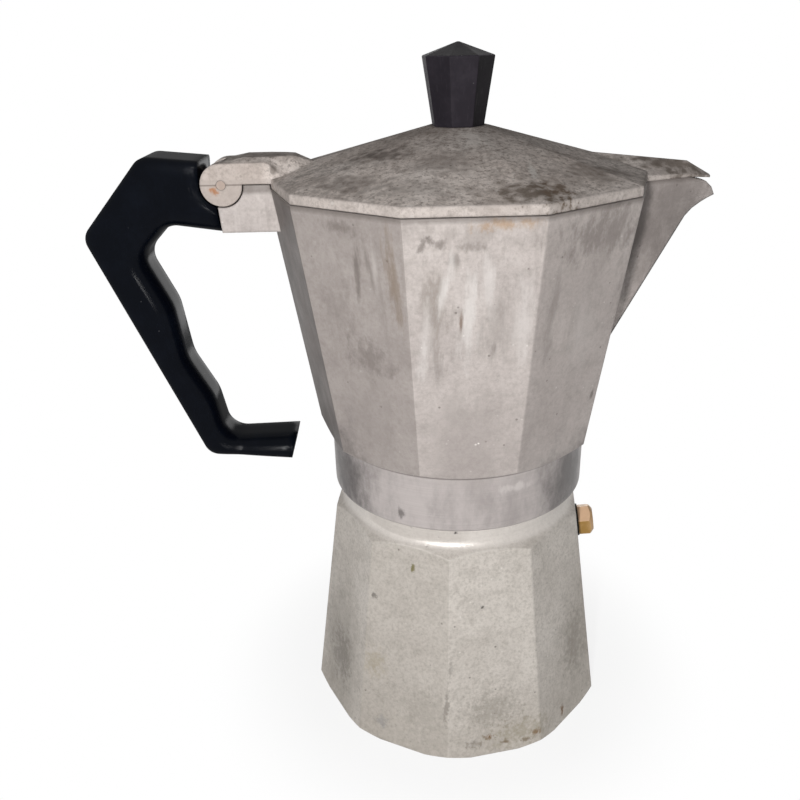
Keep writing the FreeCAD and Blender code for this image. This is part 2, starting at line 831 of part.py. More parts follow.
def add_column(body):
    """Standing column with its flared foot, and the whole underside turned out in one cut."""
    column_top = f"({FLOOR_TOP} + column_height)"
    bore_top = f"({column_top} - column_crown)"
    hollow = "(plate_radius - hollow_margin)"
    lathe(body, "column", [
        (0, f"{FLOOR_TOP} - cut_margin"),
        ("column_flare", f"{FLOOR_TOP} - cut_margin"),
        ("column_flare", FLOOR_TOP),
        ("column_radius + column_taper", f"{FLOOR_TOP} + flare_height"),
        ("column_radius", bore_top),
        (0, column_top),
    ])
    lathe(body, "underside", [
        (0, f"{COLLAR_BOTTOM} - cut_margin"),
        ("neck_radius + thread_gap", f"{COLLAR_BOTTOM} - cut_margin"),
        ("neck_radius + thread_gap", f"{RIM_TOP} + rim_gap"),
        ("seal_radius", f"{RIM_TOP} + rim_gap"),
        ("seal_radius", SEAT),
        ("plate_radius + plate_gap", SEAT),
        ("plate_radius + plate_gap", PLATE_TOP),
        (hollow, PLATE_TOP),
        ("column_bore", f"{PLATE_TOP} + hollow_rise"),
        ("column_bore", f"{bore_top} - column_bore"),
        (0, bore_top),
    ], cut=True)
    outlet_top = f"({bore_top} - column_crown)"
    outlet = outline(body, "outlet_outline", "XZ_Plane", [
        ("-outlet_width / 2", f"{outlet_top} - outlet_height"),
        ("outlet_width / 2", f"{outlet_top} - outlet_height"),
        ("outlet_width / 2", outlet_top),
        ("-outlet_width / 2", outlet_top),
    ])
    both_ways(body, "outlets", outlet, "2 * column_flare", cut=True)


def add_tongue(body):
    """Room for the lid's ears, the tongue between them and the tang that holds the handle."""
    ears = round_outline(body, "ear_room_outline", "XZ_Plane", HINGE, "ear_radius + hinge_gap")
    both_ways(body, "ear_room", ears, f"{BRACKET_WIDTH} + 2 * cut_margin", cut=True)
    web = "(-collector_rim - hinge_reach / 3)"
    tang = outline(body, "tang_outline", "XZ_Plane", [
        (web, TANG_BOTTOM),
        (web, RIM),
        (HINGE_X, RIM),
        (HINGE_X, TANG_TOP),
        (TANG_END, TANG_TOP),
        (TANG_END, TANG_BOTTOM),
    ])
    both_ways(body, "tang", tang, "tongue_width")
    knuckle = round_outline(body, "knuckle_outline", "XZ_Plane", HINGE, "knuckle_radius")
    both_ways(body, "knuckle", knuckle, "tongue_width")
    pin = round_outline(body, "pin_hole_outline", "XZ_Plane", HINGE, "pin_radius + fit_gap")
    both_ways(body, "pin_hole", pin, "tongue_width + 2 * cut_margin", cut=True)
    middle = f"({TANG_BOTTOM} + tang_height / 2)"
    radius = "handle_screw_radius + fit_gap"
    screw = round_outline(body, "tang_hole_outline", "XY_Plane", (HANDLE_SCREW_X, 0), radius, middle)
    both_ways(body, "tang_hole", screw, "tang_height + 2 * cut_margin", cut=True)


# Lid

def lid_slope(radius):
    """Height of the lid's upper side over a corner radius."""
    return f"({LID_EAVE} + lid_rise * ({LID_RADIUS} - ({radius})) / ({LID_RADIUS} - lid_seat))"


def arm_section(body, name, reach, half, crown_half, low, edge, crown):
    """Section across the hinge arm: upright sides, sloped edges and a flat crown."""
    corners = [
        (f"-{half}", low),
        (half, low),
        (half, edge),
        (crown_half, crown),
        (f"-({crown_half})", crown),
        (f"-{half}", edge),
    ]
    return outline(body, name, "YZ_Plane", corners, reach)


def beak_section(body, name, reach, half, low, eave, ridge):
    """Roof-shaped section across the beak at a distance from the upright axis."""
    corners = [(f"-{half}", low), (half, low), (half, eave), (0, ridge), (f"-{half}", eave)]
    return outline(body, name, "YZ_Plane", corners, reach)


def make_lid():
    body = new_body("lid")
    drafted_prism(body, "roof", LID_RADIUS, LID_EAVE, "lid_seat", LID_TOP, SIDES)
    rim = prism(body, "rim", LID_RADIUS, LID_LOW, LID_EAVE, SIDES)
    below_eave = value(LID_EAVE) - TOLERANCE
    upright = [i for i in sloped_edges(rim.Shape) if rim.Shape.Edges[i].BoundBox.ZMin < below_eave]
    round_edges(body, "soft_rim", rim, upright + level_edges(rim.Shape, LID_EAVE), "lid_round")
    add_arm(body)
    ears = round_outline(body, "ears_outline", "XZ_Plane", HINGE, "ear_radius")
    both_ways(body, "ears", ears, BRACKET_WIDTH)
    add_beak(body)
    subtract(body, "underside", make_lid_hollow())
    slot = round_outline(body, "slot_outline", "XZ_Plane", HINGE, "knuckle_radius + hinge_gap")
    both_ways(body, "slot", slot, "tongue_width + 2 * hinge_gap", cut=True)
    pin = round_outline(body, "pin_hole_outline", "XZ_Plane", HINGE, "pin_radius + fit_gap")
    both_ways(body, "pin_hole", pin, f"{BRACKET_WIDTH} + 2 * cut_margin", cut=True)
    radius = "knob_screw_radius + fit_gap"
    hole = [(0, LID_LOW), (radius, LID_LOW), (radius, LID_TOP), (0, LID_TOP)]
    lathe(body, "screw_hole", hole, cut=True)
    return body


def make_lid_hollow():
    """Underside of the lid: an upright wall inside the rim, then the roof's own slope."""
    body = new_body("lid_hollow")
    inside = f"({LID_RADIUS} - lid_edge)"
    bend = f"({lid_slope(inside)} - lid_wall)"
    drafted_prism(body, "hollow", inside, bend, "lid_seat", f"({LID_TOP} - lid_wall)", SIDES)
    prism(body, "mouth", inside, f"({LID_LOW} - cut_margin)", bend, SIDES)
    return body


def arm_foot(reach, half):
    """Level just under the roof, at a distance from the upright axis and to one side."""
    return f"({lid_slope(f'{reach} + {half} * tan({HALF_SIDE})')} - arm_sink)"


def add_arm(body):
    """Arm from the ears to the lid: a ramp, a straight length, and hips that run into the roof."""
    half = f"({BRACKET_WIDTH} / 2)"
    crown_half = f"({half} - arm_bevel)"
    low = f"({HINGE_Z} + lid_gap / 2)"
    edge = f"({HINGE_Z} + ear_radius)"
    crown = f"({edge} + arm_crown)"
    hip_edge = arm_foot("arm_hip", half)
    brow_half = "(arm_brow_width / 2)"
    brow_crown_half = "(arm_brow_crown / 2)"
    brow_edge = arm_foot("arm_brow", brow_half)
    tip_half = "(arm_tip_width / 2)"
    tip_edge = arm_foot("arm_tip", tip_half)
    tip_crown = lid_slope("arm_tip")
    loft(body, "arm", [
        arm_section(body, "arm_end", HINGE_X, half, crown_half, low, edge, edge),
        arm_section(body, "arm_ramp", f"{HINGE_X} + arm_ramp", half, crown_half, low, edge, crown),
        arm_section(body, "arm_root", "-arm_root", half, crown_half, low, edge, crown),
        arm_section(body, "arm_hip", "-arm_hip", half, "arm_hip_crown / 2", low, hip_edge, crown),
        arm_section(body, "arm_brow", "-arm_brow", brow_half, brow_crown_half, low, brow_edge, crown),
        arm_section(body, "arm_tip", "-arm_tip", tip_half, "arm_tip_crown / 2", low, tip_edge, tip_crown),
    ])


def add_beak(body):
    """Roofed beak over the spout, and the hollow under it."""
    tip = f"({LID_RADIUS} + beak_reach)"
    tip_low = f"({LID_LOW} - beak_droop)"
    root = f"({LID_RADIUS} - beak_root)"
    root_half = "(beak_root_width / 2)"
    root_ridge = f"({LID_EAVE} + beak_ridge)"
    brow = f"({tip} - beak_brow)"
    brow_half = "(beak_brow_width / 2)"
    brow_eave = f"({LID_LOW} + beak_brow_eave)"
    brow_ridge = f"({LID_LOW} + beak_brow_ridge)"
    tip_eave = f"({tip_low} + beak_tip_eave)"
    tip_ridge = f"({tip_low} + beak_tip_ridge)"
    loft(body, "beak", [
        beak_section(body, "beak_root", root, root_half, LID_LOW, LID_EAVE, root_ridge),
        beak_section(body, "beak_brow", brow, brow_half, LID_LOW, brow_eave, brow_ridge),
        beak_section(body, "beak_tip", tip, "(beak_tip_width / 2)", tip_low, tip_eave, tip_ridge),
    ])
    below = f"({LID_LOW} - cut_margin)"
    loft(body, "beak_hollow", [
        beak_section(body, "hollow_root", root, f"({root_half} - beak_wall)", below, LID_LOW,
                     f"{root_ridge} - beak_wall"),
        beak_section(body, "hollow_brow", brow, f"({brow_half} - beak_wall)", below, LID_LOW,
                     f"{brow_ridge} - beak_wall"),
    ], cut=True)


# Knob

def make_lid_knob():
    body = new_body("lid_knob")
    eave = f"({LID_TOP} + knob_height)"
    point = f"({eave} + knob_point)"
    drafted_prism(body, "faces", "knob_foot", LID_TOP, "knob_eave", eave, KNOB_SIDES, "knob_turn")
    top = drafted_prism(body, "top", "knob_eave", eave, "knob_tip", point, KNOB_SIDES, "knob_turn")
    edges = sloped_edges(top.Shape) + level_edges(top.Shape, eave)
    round_edges(body, "soft_edges", top, edges, "knob_round")
    radius = "insert_radius + fit_gap"
    top = f"{LID_TOP} + insert_length + fit_gap"
    lathe(body, "socket", [
        (0, f"{LID_TOP} - cut_margin"),
        (radius, f"{LID_TOP} - cut_margin"),
        (radius, top),
        (0, top),
    ], cut=True)
    return body


def make_knob_insert():
    body = new_body("knob_insert")
    top = f"{LID_TOP} + insert_length"
    inner = "knob_screw_radius + fit_gap"
    outer = "insert_radius"
    lathe(body, "bush", [(inner, LID_TOP), (outer, LID_TOP), (outer, top), (inner, top)])
    return body


def make_knob_screw():
    body = new_body("knob_screw")
    head = f"{SCREW_SEAT} - screw_head_height"
    top = f"{SCREW_SEAT} + knob_screw_length"
    lathe(body, "turned_form", [
        (0, head),
        ("screw_head_radius - head_bevel", head),
        ("screw_head_radius", f"{head} + head_bevel"),
        ("screw_head_radius", SCREW_SEAT),
        ("knob_screw_radius", SCREW_SEAT),
        ("knob_screw_radius", top),
        (0, top),
    ])
    return body


def make_knob_washer():
    body = new_body("knob_washer")
    inner = "knob_screw_radius + fit_gap"
    outer = "knob_washer_radius"
    top = f"{SCREW_SEAT} + knob_washer_thick"
    lathe(body, "ring", [(inner, SCREW_SEAT), (outer, SCREW_SEAT), (outer, top), (inner, top)])
    return body


# Hinge pin

def make_hinge_pin():
    body = new_body("hinge_pin")
    sketch = round_outline(body, "pin_outline", "XZ_Plane", HINGE, "pin_radius")
    both_ways(body, "pin", sketch, BRACKET_WIDTH)
    return body


# Handle

KNEE = (f"({HINGE_X} - knee_reach)", f"({HINGE_Z} - knee_drop)")
HEEL = (f"({HINGE_X} - heel_reach)", f"({HINGE_Z} - heel_drop)")
BACK_X = "(knee_reach - heel_reach)"
BACK_Z = "(knee_drop - heel_drop)"
BACK_LENGTH = f"sqrt({BACK_X} * {BACK_X} + {BACK_Z} * {BACK_Z})"


def grip_point(share, width):
    """Point on the grip's inner side: a share of the way down the back, and the width there."""
    x = f"({KNEE[0]} + {share} * {BACK_X} - {width} * {BACK_Z} / {BACK_LENGTH})"
    z = f"({KNEE[1]} + {share} * {BACK_Z} + {width} * {BACK_X} / {BACK_LENGTH})"
    return x, z


def handle_corners():
    """Named corners of the handle's side view, in order round the outline."""
    front = f"({BRACKET_BACK} - stop_gap)"
    stop = f"({HINGE_X} - ear_radius - stop_gap)"
    top = f"({HINGE_Z} + handle_rise)"
    under = f"({HINGE_Z} - arm_front)"
    foot_end = f"({HEEL[0]} + foot_length)"
    foot_low = f"({HEEL[1]} - foot_dip)"
    return {
        "stop": (f"({stop} + stop_lean)", f"({HINGE_Z} + stop_rise)"),
        "crown": (f"({HINGE_X} - arm_flat)", top),
        "knee": KNEE,
        "heel": HEEL,
        "toe": (foot_end, foot_low),
        "toe_top": (f"({foot_end} + foot_rake)", f"({foot_low} + foot_end)"),
        "instep": grip_point("instep_share", "instep_width"),
        "low": grip_point("low_share", "low_width"),
        "waist": grip_point("waist_share", "waist_width"),
        "swell": grip_point("swell_share", "swell_width"),
        "palm": grip_point("palm_share", "palm_width"),
        "elbow": (f"({HINGE_X} - arm_span)", f"({under} + arm_arch)"),
        "front_low": (f"({front} + bracket_rake)", under),
        "front_high": (front, HINGE_Z),
        "stop_low": (stop, HINGE_Z),
    }


ROUNDED = {
    "corner_round": ("crown", "knee", "heel"),
    "elbow_round": ("palm", "elbow", "instep"),
    "wave_round": ("low", "waist", "swell"),
}

HANDLE_PATHS = {
    "grip": ("toe_top", "instep", "low", "waist", "swell", "palm", "elbow", "front_low"),
    "back": ("stop", "crown", "knee", "heel", "toe"),
    "front": ("front_low", "front_high", "stop_low", "stop"),
    "toe": ("toe", "toe_top"),
}


def edges_across(shape, places):
    """Indices of the edges along Y that stand on the given side-view points."""
    found = []
    for i, edge in enumerate(shape.Edges):
        box = edge.BoundBox
        if box.XLength + box.ZLength > TOLERANCE:
            continue
        if any(math.hypot(box.XMin - x, box.ZMin - z) < TOLERANCE for x, z in places):
            found.append(i)
    return found


def distance_to_path(x, z, path):
    """Least distance from a side-view point to a chain of straight lines."""
    line = Part.makePolygon([FreeCAD.Vector(a, 0, b) for a, b in path])
    return line.distToShape(Part.Vertex(x, 0, z))[0]


def face_edges(shape, half, paths, wanted):
    """Indices of the edges of the two flat faces that follow the wanted path."""
    found = []
    for i, edge in enumerate(shape.Edges):
        box = edge.BoundBox
        if box.YLength > TOLERANCE or abs(abs(box.YMin) - half) > TOLERANCE:
            continue
        middle = edge.valueAt((edge.FirstParameter + edge.LastParameter) / 2)
        gaps = {name: distance_to_path(middle.x, middle.z, path) for name, path in paths.items()}
        if min(gaps, key=gaps.get) == wanted:
            found.append(i)
    return found


def make_handle():
    body = new_body("handle")
    corners = handle_corners()
    spots = {name: (value(x), value(z)) for name, (x, z) in corners.items()}
    paths = {name: [spots[corner] for corner in chain] for name, chain in HANDLE_PATHS.items()}
    sketch = outline(body, "side_view", "XZ_Plane", list(corners.values()))
    shape = both_ways(body, "slab", sketch, "handle_width")
    for radius, names in ROUNDED.items():
        edges = edges_across(shape.Shape, [spots[name] for name in names])
        shape = round_edges(body, "rounded_" + radius, shape, edges, radius)
    half = value("handle_width / 2")
    for path, radius in (("grip", "grip_round"), ("back", "back_round")):
        edges = face_edges(shape.Shape, half, paths, path)
        shape = round_edges(body, "rounded_" + path, shape, edges, radius)
    room = round_outline(body, "ear_room_outline", "XZ_Plane", HINGE, "ear_radius + stop_gap")
    both_ways(body, "ear_room", room, "handle_width + 2 * cut_margin", cut=True)
    slot = outline(body, "slot_outline", "XZ_Plane", [
        (HINGE_X, f"{TANG_BOTTOM} - tang_fit"),
        (HINGE_X, f"{TANG_TOP} + tang_fit"),
        (f"{TANG_END} - tang_fit", f"{TANG_TOP} + tang_fit"),
        (f"{TANG_END} - tang_fit", f"{TANG_BOTTOM} - tang_fit"),
    ])
    both_ways(body, "slot", slot, "tongue_width + 2 * tang_fit", cut=True)
    place = (HANDLE_SCREW_X, 0)
    radius = "handle_screw_radius + tang_fit"
    middle = f"{HANDLE_SEAT} + handle_web / 2"
    web = round_outline(body, "web_hole_outline", "XY_Plane", place, radius, middle)
    both_ways(body, "web_hole", web, "handle_web + 2 * tang_fit", cut=True)
    radius = "handle_head_radius + handle_recess_gap"
    middle = f"{HANDLE_SEAT} - arm_front / 2"
    recess = round_outline(body, "recess_outline", "XY_Plane", place, radius, middle)
    both_ways(body, "recess", recess, "arm_front", cut=True)
    return body


HANDLE_SCREW_PLACE = f"placement(vector({HANDLE_SCREW_X}; 0; 0); rotation(0; 0; 0))"


def make_handle_washer():
    body = new_body("handle_washer")
    inner = "handle_screw_radius + fit_gap"
    low = f"{HANDLE_SEAT} - handle_washer_thick"
    outer = "handle_head_radius"
    lathe(body, "ring", [(inner, low), (outer, low), (outer, HANDLE_SEAT), (inner, HANDLE_SEAT)])
    bind(body, "Placement", HANDLE_SCREW_PLACE)
    return body


def make_handle_screw():
    body = new_body("handle_screw")
    seat = f"({HANDLE_SEAT} - handle_washer_thick)"
    head = f"({seat} - handle_head_height)"
    lathe(body, "turned_form", [
        (0, head),
        ("handle_head_radius - head_bevel", head),
        ("handle_head_radius", f"{head} + head_bevel"),
        ("handle_head_radius", seat),
        ("handle_screw_radius", seat),
        ("handle_screw_radius", TANG_TOP),
        (0, TANG_TOP),
    ])
    bind(body, "Placement", HANDLE_SCREW_PLACE)
    return body


MAKERS = {
    "boiler": make_boiler,
    "valve_washer": make_valve_washer,
    "valve_body": make_valve_body,
    "valve_cap": make_valve_cap,
    "valve_plunger": make_valve_plunger,
    "valve_spring": make_valve_spring,
    "funnel": make_funnel,
    "funnel_sieve": make_funnel_sieve,
    "gasket": make_gasket,
    "filter_plate": make_filter_plate,
    "collector": make_collector,
    "lid": make_lid,
    "lid_knob": make_lid_knob,
    "knob_insert": make_knob_insert,
    "knob_screw": make_knob_screw,
    "knob_washer": make_knob_washer,
    "hinge_pin": make_hinge_pin,
    "handle": make_handle,
    "handle_washer": make_handle_washer,
    "handle_screw": make_handle_screw,
}

pieces = {}
for name, make in MAKERS.items():
    pieces[name] = make()
    pieces[name].Label = name
doc.recompute()

failed = [thing.Name for thing in doc.Objects if {"Invalid", "Error"} & set(thing.State)]
if failed:
    raise RuntimeError("failed: " + ", ".join(failed))
for name, piece in pieces.items():
    if piece.Shape.isNull() or not piece.Shape.isValid():
        raise RuntimeError("bad shape: " + name)

os.makedirs("parts", exist_ok=True)
for name, piece in pieces.items():
    piece.Shape.exportStep(f"parts/{name}.step")
    print(name, len(piece.Shape.Solids), round(piece.Shape.Volume / 1000, 2), "cm3")
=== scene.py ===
"""Looks of a well-used stove-top coffee pot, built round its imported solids."""

import json
import math

import bpy
import numpy as np
from mathutils import Matrix, Vector


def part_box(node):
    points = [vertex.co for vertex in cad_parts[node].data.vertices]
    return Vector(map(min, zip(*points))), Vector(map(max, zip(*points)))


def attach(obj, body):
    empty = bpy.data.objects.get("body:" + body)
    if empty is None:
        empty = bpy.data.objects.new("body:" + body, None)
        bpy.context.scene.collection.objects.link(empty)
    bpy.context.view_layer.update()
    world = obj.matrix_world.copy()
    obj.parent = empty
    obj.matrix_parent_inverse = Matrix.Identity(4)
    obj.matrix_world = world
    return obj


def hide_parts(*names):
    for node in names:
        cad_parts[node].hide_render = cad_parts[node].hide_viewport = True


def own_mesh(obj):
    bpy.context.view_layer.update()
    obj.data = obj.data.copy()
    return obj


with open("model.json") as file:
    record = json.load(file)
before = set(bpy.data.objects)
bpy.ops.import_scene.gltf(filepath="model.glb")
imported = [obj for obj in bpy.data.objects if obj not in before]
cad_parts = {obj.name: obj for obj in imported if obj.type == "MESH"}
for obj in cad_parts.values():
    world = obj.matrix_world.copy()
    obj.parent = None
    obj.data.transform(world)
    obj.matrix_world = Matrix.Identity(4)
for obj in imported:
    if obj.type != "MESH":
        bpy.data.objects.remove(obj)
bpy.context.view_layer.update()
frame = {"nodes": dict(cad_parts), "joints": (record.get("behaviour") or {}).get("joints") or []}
NODES = frame["nodes"]
MM = 0.001


# Nodes and colours

def linear(hex_colour):
    """Linear colour with alpha of an sRGB hex value."""
    parts = [int(hex_colour[i:i + 2], 16) / 255 for i in (1, 3, 5)]
    return [c / 12.92 if c <= 0.04045 else ((c + 0.055) / 1.055) ** 2.4 for c in parts] + [1.0]


def add(tree, kind, *inputs, **named):
    """Add a node: plain arguments go to its inputs in order, named ones to its settings or inputs.

    An underscore in an input's name stands for a space, and a node or a socket is linked. A MapRange
    takes its value, then the two ends that it reads and the two ends that it gives.
    """
    made = tree.nodes.new("ShaderNode" + kind)
    settings = {name for name in named if name in made.bl_rna.properties}
    for name in settings:
        setattr(made, name, named[name])
    given = dict(enumerate(inputs))
    given.update({name.replace("_", " "): named[name] for name in named if name not in settings})
    for key, thing in given.items():
        if isinstance(thing, bpy.types.Node):
            thing = thing.outputs[0]
        if isinstance(thing, bpy.types.NodeSocket):
            tree.links.new(thing, made.inputs[key])
        else:
            made.inputs[key].default_value = thing
    return made


def new_material(name):
    """An empty material and its tree."""
    material = bpy.data.materials.new(name)
    material.use_nodes = True
    material.node_tree.nodes.clear()
    return material, material.node_tree


def millimetres(tree):
    """Place on the piece in millimetres, in the pot's own frame."""
    place = add(tree, "TexCoord").outputs["Object"]
    return add(tree, "Mapping", place, Scale=(1 / MM, 1 / MM, 1 / MM))


def tinted(tree, colour, tint, share, strength):
    """Colour with a tint laid over it, by the tint's share of the surface times its strength."""
    cover = add(tree, "Math", share, strength, operation="MULTIPLY")
    return add(tree, "MixRGB", cover, colour, linear(tint))


# What age and making leave on a surface

EDGE_RAYS = 8
# Between these values lies nearly all of a noise
NOISE_SPREAD = (0.3, 0.7)


def worn_edges(tree, radius_mm, gain):
    """Normal rounded over the edges, and the share by which it leaves the flat one."""
    soft = add(tree, "Bevel", radius_mm * MM, samples=EDGE_RAYS)
    flat = add(tree, "NewGeometry").outputs["Normal"]
    along = add(tree, "VectorMath", soft, flat, operation="DOT_PRODUCT").outputs["Value"]
    return soft, add(tree, "MapRange", along, 1.0, 1.0 - gain, interpolation_type="SMOOTHSTEP")


def pits(tree, place, spacing_mm, radius_mm, kept):
    """Share of small round pits: a dot in the middle of some cells of an uneven net."""
    net = add(tree, "TexVoronoi", place, Scale=1 / spacing_mm)
    dot = add(tree, "MapRange", net.outputs["Distance"], radius_mm / spacing_mm,
              0.5 * radius_mm / spacing_mm, interpolation_type="SMOOTHSTEP")
    luck = add(tree, "SeparateColor", net.outputs["Color"]).outputs["Red"]
    chosen = add(tree, "Math", luck, kept, operation="LESS_THAN")
    return add(tree, "Math", dot, chosen, operation="MULTIPLY")


def ragged_noise(tree, place, stretch, size_mm, reach):
    """Noise about zero that eats into the rims of oval marks, both stain and painted shade; the stretch
    draws it out along an axis.
    """
    drawn = add(tree, "Mapping", place, Scale=stretch)
    noise = add(tree, "TexNoise", drawn, Scale=1 / size_mm, Detail=6.0, Roughness=0.7)
    return add(tree, "MapRange", noise, *NOISE_SPREAD, -reach, reach)


# How deep the oval of a stain or painted-shade mark reaches into the wall, in millimetres, and where in the
# oval it ends and is full
MARK_DEPTH = 7.0
MARK_RIM = 1.15
MARK_CORE = 0.1


def oval_marks(tree, place, colour, marks, ragged):
    """Colour with oval marks laid over it, each fading from its middle to an oval rim that the noise eats;
    some tables hold stain marks, others painted shade.

    A mark has its middle, half width and half height in millimetres, the turn of the flat that it
    lies on and its own lean in degrees, its tint and its strength.
    """
    for middle, across, tall, turn, lean, tint, strength in marks:
        turned = (0.0, math.radians(lean), math.radians(turn))
        size = (across, MARK_DEPTH, tall)
        oval = add(tree, "Mapping", place, middle, turned, size, vector_type="TEXTURE")
        off = add(tree, "VectorMath", oval, operation="LENGTH").outputs["Value"]
        eaten = add(tree, "Math", off, ragged, operation="ADD")
        share = add(tree, "MapRange", eaten, MARK_RIM, MARK_CORE, 0.0, strength,
                    interpolation_type="SMOOTHSTEP")
        colour = add(tree, "MixRGB", share, colour, linear(tint))
    return colour


FLAT_SHADE_PATCH_MM = 14
# Cosines of the angle to a flat's direction where its painted light and shade ends and where it is whole
FLAT_SHADE_END = 0.88
FLAT_SHADE_WHOLE = 0.93


def painted_flat_shading(tree, place, colour, flats):
    """Colour with painted light and shade laid over single flats, each where the surface faces the flat's
    turn and rise.

    A flat has its turn from the front and its rise in degrees, its tint and its strength.
    """
    faces = add(tree, "TexCoord").outputs["Normal"]
    clouds = add(tree, "TexNoise", place, Scale=1 / FLAT_SHADE_PATCH_MM, Detail=5.0, Roughness=0.65)
    patchy = add(tree, "MapRange", clouds, *NOISE_SPREAD, 0.8, 1.1)
    for turn, rise, tint, strength in flats:
        turn, rise = math.radians(turn), math.radians(rise)
        way = (math.sin(turn) * math.cos(rise), -math.cos(turn) * math.cos(rise), math.sin(rise))
        along = add(tree, "VectorMath", faces, way, operation="DOT_PRODUCT").outputs["Value"]
        flat = add(tree, "MapRange", along, FLAT_SHADE_END, FLAT_SHADE_WHOLE, 0.0, strength)
        colour = tinted(tree, colour, tint, flat, patchy)
    return colour


# Cast aluminium: sand leaves a fine grain and pits, heating and washing leave clouds of dull oxide

CLOUD_MM = 24
BLOTCH_MM = 5.0


def casting(tree, place, pale, dull, dark, cloud, mottle, speck, grain_mm):
    """Colour, roughness and height of a sandy casting: clouds, mottling, grain, pits and bright specks.

    Moulding sand is about 0.3 mm across; its grain is drawn three to four times as coarse, to show.
    """
    clouds = add(tree, "TexNoise", place, Scale=1 / CLOUD_MM, Detail=5.0, Roughness=0.6)
    share = add(tree, "MapRange", clouds, 0.36, 0.64, 0.0, cloud, interpolation_type="SMOOTHSTEP")
    colour = add(tree, "MixRGB", share, linear(pale), linear(dull))
    blotch = add(tree, "TexNoise", place, Scale=1 / BLOTCH_MM, Detail=5.0, Roughness=0.7)
    share = add(tree, "MapRange", blotch, 0.46, 0.72, 0.0, mottle)
    colour = add(tree, "MixRGB", share, colour, linear(dark))
    grain = add(tree, "TexNoise", place, Scale=1 / grain_mm, Detail=4.0, Roughness=0.75)
    share = add(tree, "MapRange", grain, 0.46, 0.74, 0.0, speck)
    colour = add(tree, "MixRGB", share, colour, linear(dark))
    share = add(tree, "MapRange", grain, 0.44, 0.26, 0.0, 0.45 * speck)
    colour = add(tree, "MixRGB", share, colour, linear("#e6e1dc"))
    holes = pits(tree, place, spacing_mm=4.2, radius_mm=0.45, kept=0.35)
    colour = tinted(tree, colour, "#58504a", holes, 0.6)
    aside = add(tree, "Mapping", place, Location=(3.0, 5.0, 7.0))
    bright = pits(tree, aside, spacing_mm=3.3, radius_mm=0.36, kept=0.3)
    colour = tinted(tree, colour, "#ece8e3", bright, 0.45)
    rough = add(tree, "MapRange", clouds, *NOISE_SPREAD, 0.5, 0.66)
    height = add(tree, "Math", holes, -0.8, grain, operation="MULTIPLY_ADD")
    return colour, rough, height


def metal_shader(tree, colour, metallic, rough, height, soft, depth_mm, level=0.5):
    """Close a metal's tree: bump of the given depth over the softened edges, and the film's gloss level."""
    bump = add(tree, "Bump", Height=height, Strength=0.5, Distance=depth_mm * MM, Normal=soft)
    shader = add(tree, "BsdfPrincipled", colour, Metallic=metallic, Roughness=rough, Normal=bump,
                 Specular_IOR_Level=level)
    add(tree, "OutputMaterial", shader)


# Oval marks (stain marks, and painted shade where a table says so) and flats of painted light and shade

# Painted shade: broad darkening over the boiler's left and right side flats
BOILER_PAINTED_SHADE = [
    ((-43.0, -20.0, 32.0), 17.0, 60.0, -62, 0, "#7f786f", 0.6),
    ((40.0, -24.0, 30.0), 16.0, 50.0, 54, 0, "#8b847a", 0.3),
]

BOILER_MARKS = [
    ((7.1, -47.8, 6.8), 1.9, 1.1, 10, 0, "#6f4a1c", 0.95),
    ((12.5, -47.6, 3.6), 1.6, 0.9, 10, 0, "#5f4322", 0.85),
    ((22.9, -45.1, 5.2), 2.0, 1.3, 10, 20, "#764c1a", 0.95),
    ((19.6, -46.2, 3.0), 3.0, 1.0, 10, 0, "#655039", 0.75),
    ((34.0, -36.2, 4.7), 1.4, 2.0, 46, 0, "#69481c", 0.85),
    ((1.9, -49.0, 5.0), 3.0, 2.2, 10, 0, "#7d746a", 0.7),
    ((18.0, -46.0, 6.5), 13.0, 6.0, 10, 0, "#948a74", 0.5),
    ((-16.4, -36.9, 66.3), 0.9, 1.4, -26, 0, "#6f6838", 0.9),
    ((4.8, -41.8, 54.3), 0.8, 0.9, 10, 0, "#443e38", 0.9),
    ((-28.7, -32.9, 53.3), 1.6, 1.0, -26, 0, "#5f5852", 0.7),
    ((-6.8, -48.2, 20.7), 0.9, 7.0, -20, 0, "#6d665f", 0.5),
    ((-5.6, -47.0, 34.0), 0.7, 6.0, -20, 0, "#7d766f", 0.5),
    ((-27.8, -40.1, 7.2), 2.4, 2.4, -26, 0, "#808084", 0.4),
    ((-29.4, -36.2, 28.8), 5.0, 6.0, -26, 0, "#a39780", 0.45),
    ((8.0, -46.0, 17.0), 11.0, 9.0, 10, 0, "#8d867c", 0.5),
    ((-14.0, -46.0, 16.0), 9.0, 11.0, -26, 0, "#9a938a", 0.4),
    ((-42.0, -22.0, 20.0), 8.0, 12.0, -62, 0, "#655f57", 0.5),
    ((38.0, -26.0, 26.0), 9.0, 16.0, 54, 0, "#857d73", 0.5),
    # Painted shade: a black spot on the neck, in the gap under the collar
    ((-3.1, -37.5, 79.0), 0.8, 0.8, 0, 0, "#1a1614", 0.95),
]

# Painted shade on a single flat: the boiler's front-left flat
BOILER_SHADED_FLATS = [(-26, 0, "#8a8278", 0.25)]
# Painted shade on the collector's front-left, left and front-right flats
COLLECTOR_SHADED_FLATS = [(-36, 0, "#7f7671", 0.5), (-72, 0, "#4a4340", 0.82), (36, 0, "#958c88", 0.25)]
# Painted light on the valve's upper flat and painted shade on its lower, front-facing flat
VALVE_LIT_AND_SHADED_FLATS = [(0, 60, "#f6cfac", 0.85), (0, 0, "#a8823c", 0.6)]
# Painted shade on the knob's front-left, right and top flats
KNOB_SHADED_FLATS = [(-28, 0, "#0c0a10", 0.35), (62, 0, "#0b0909", 0.8), (0, 90, "#0d0b09", 0.75)]

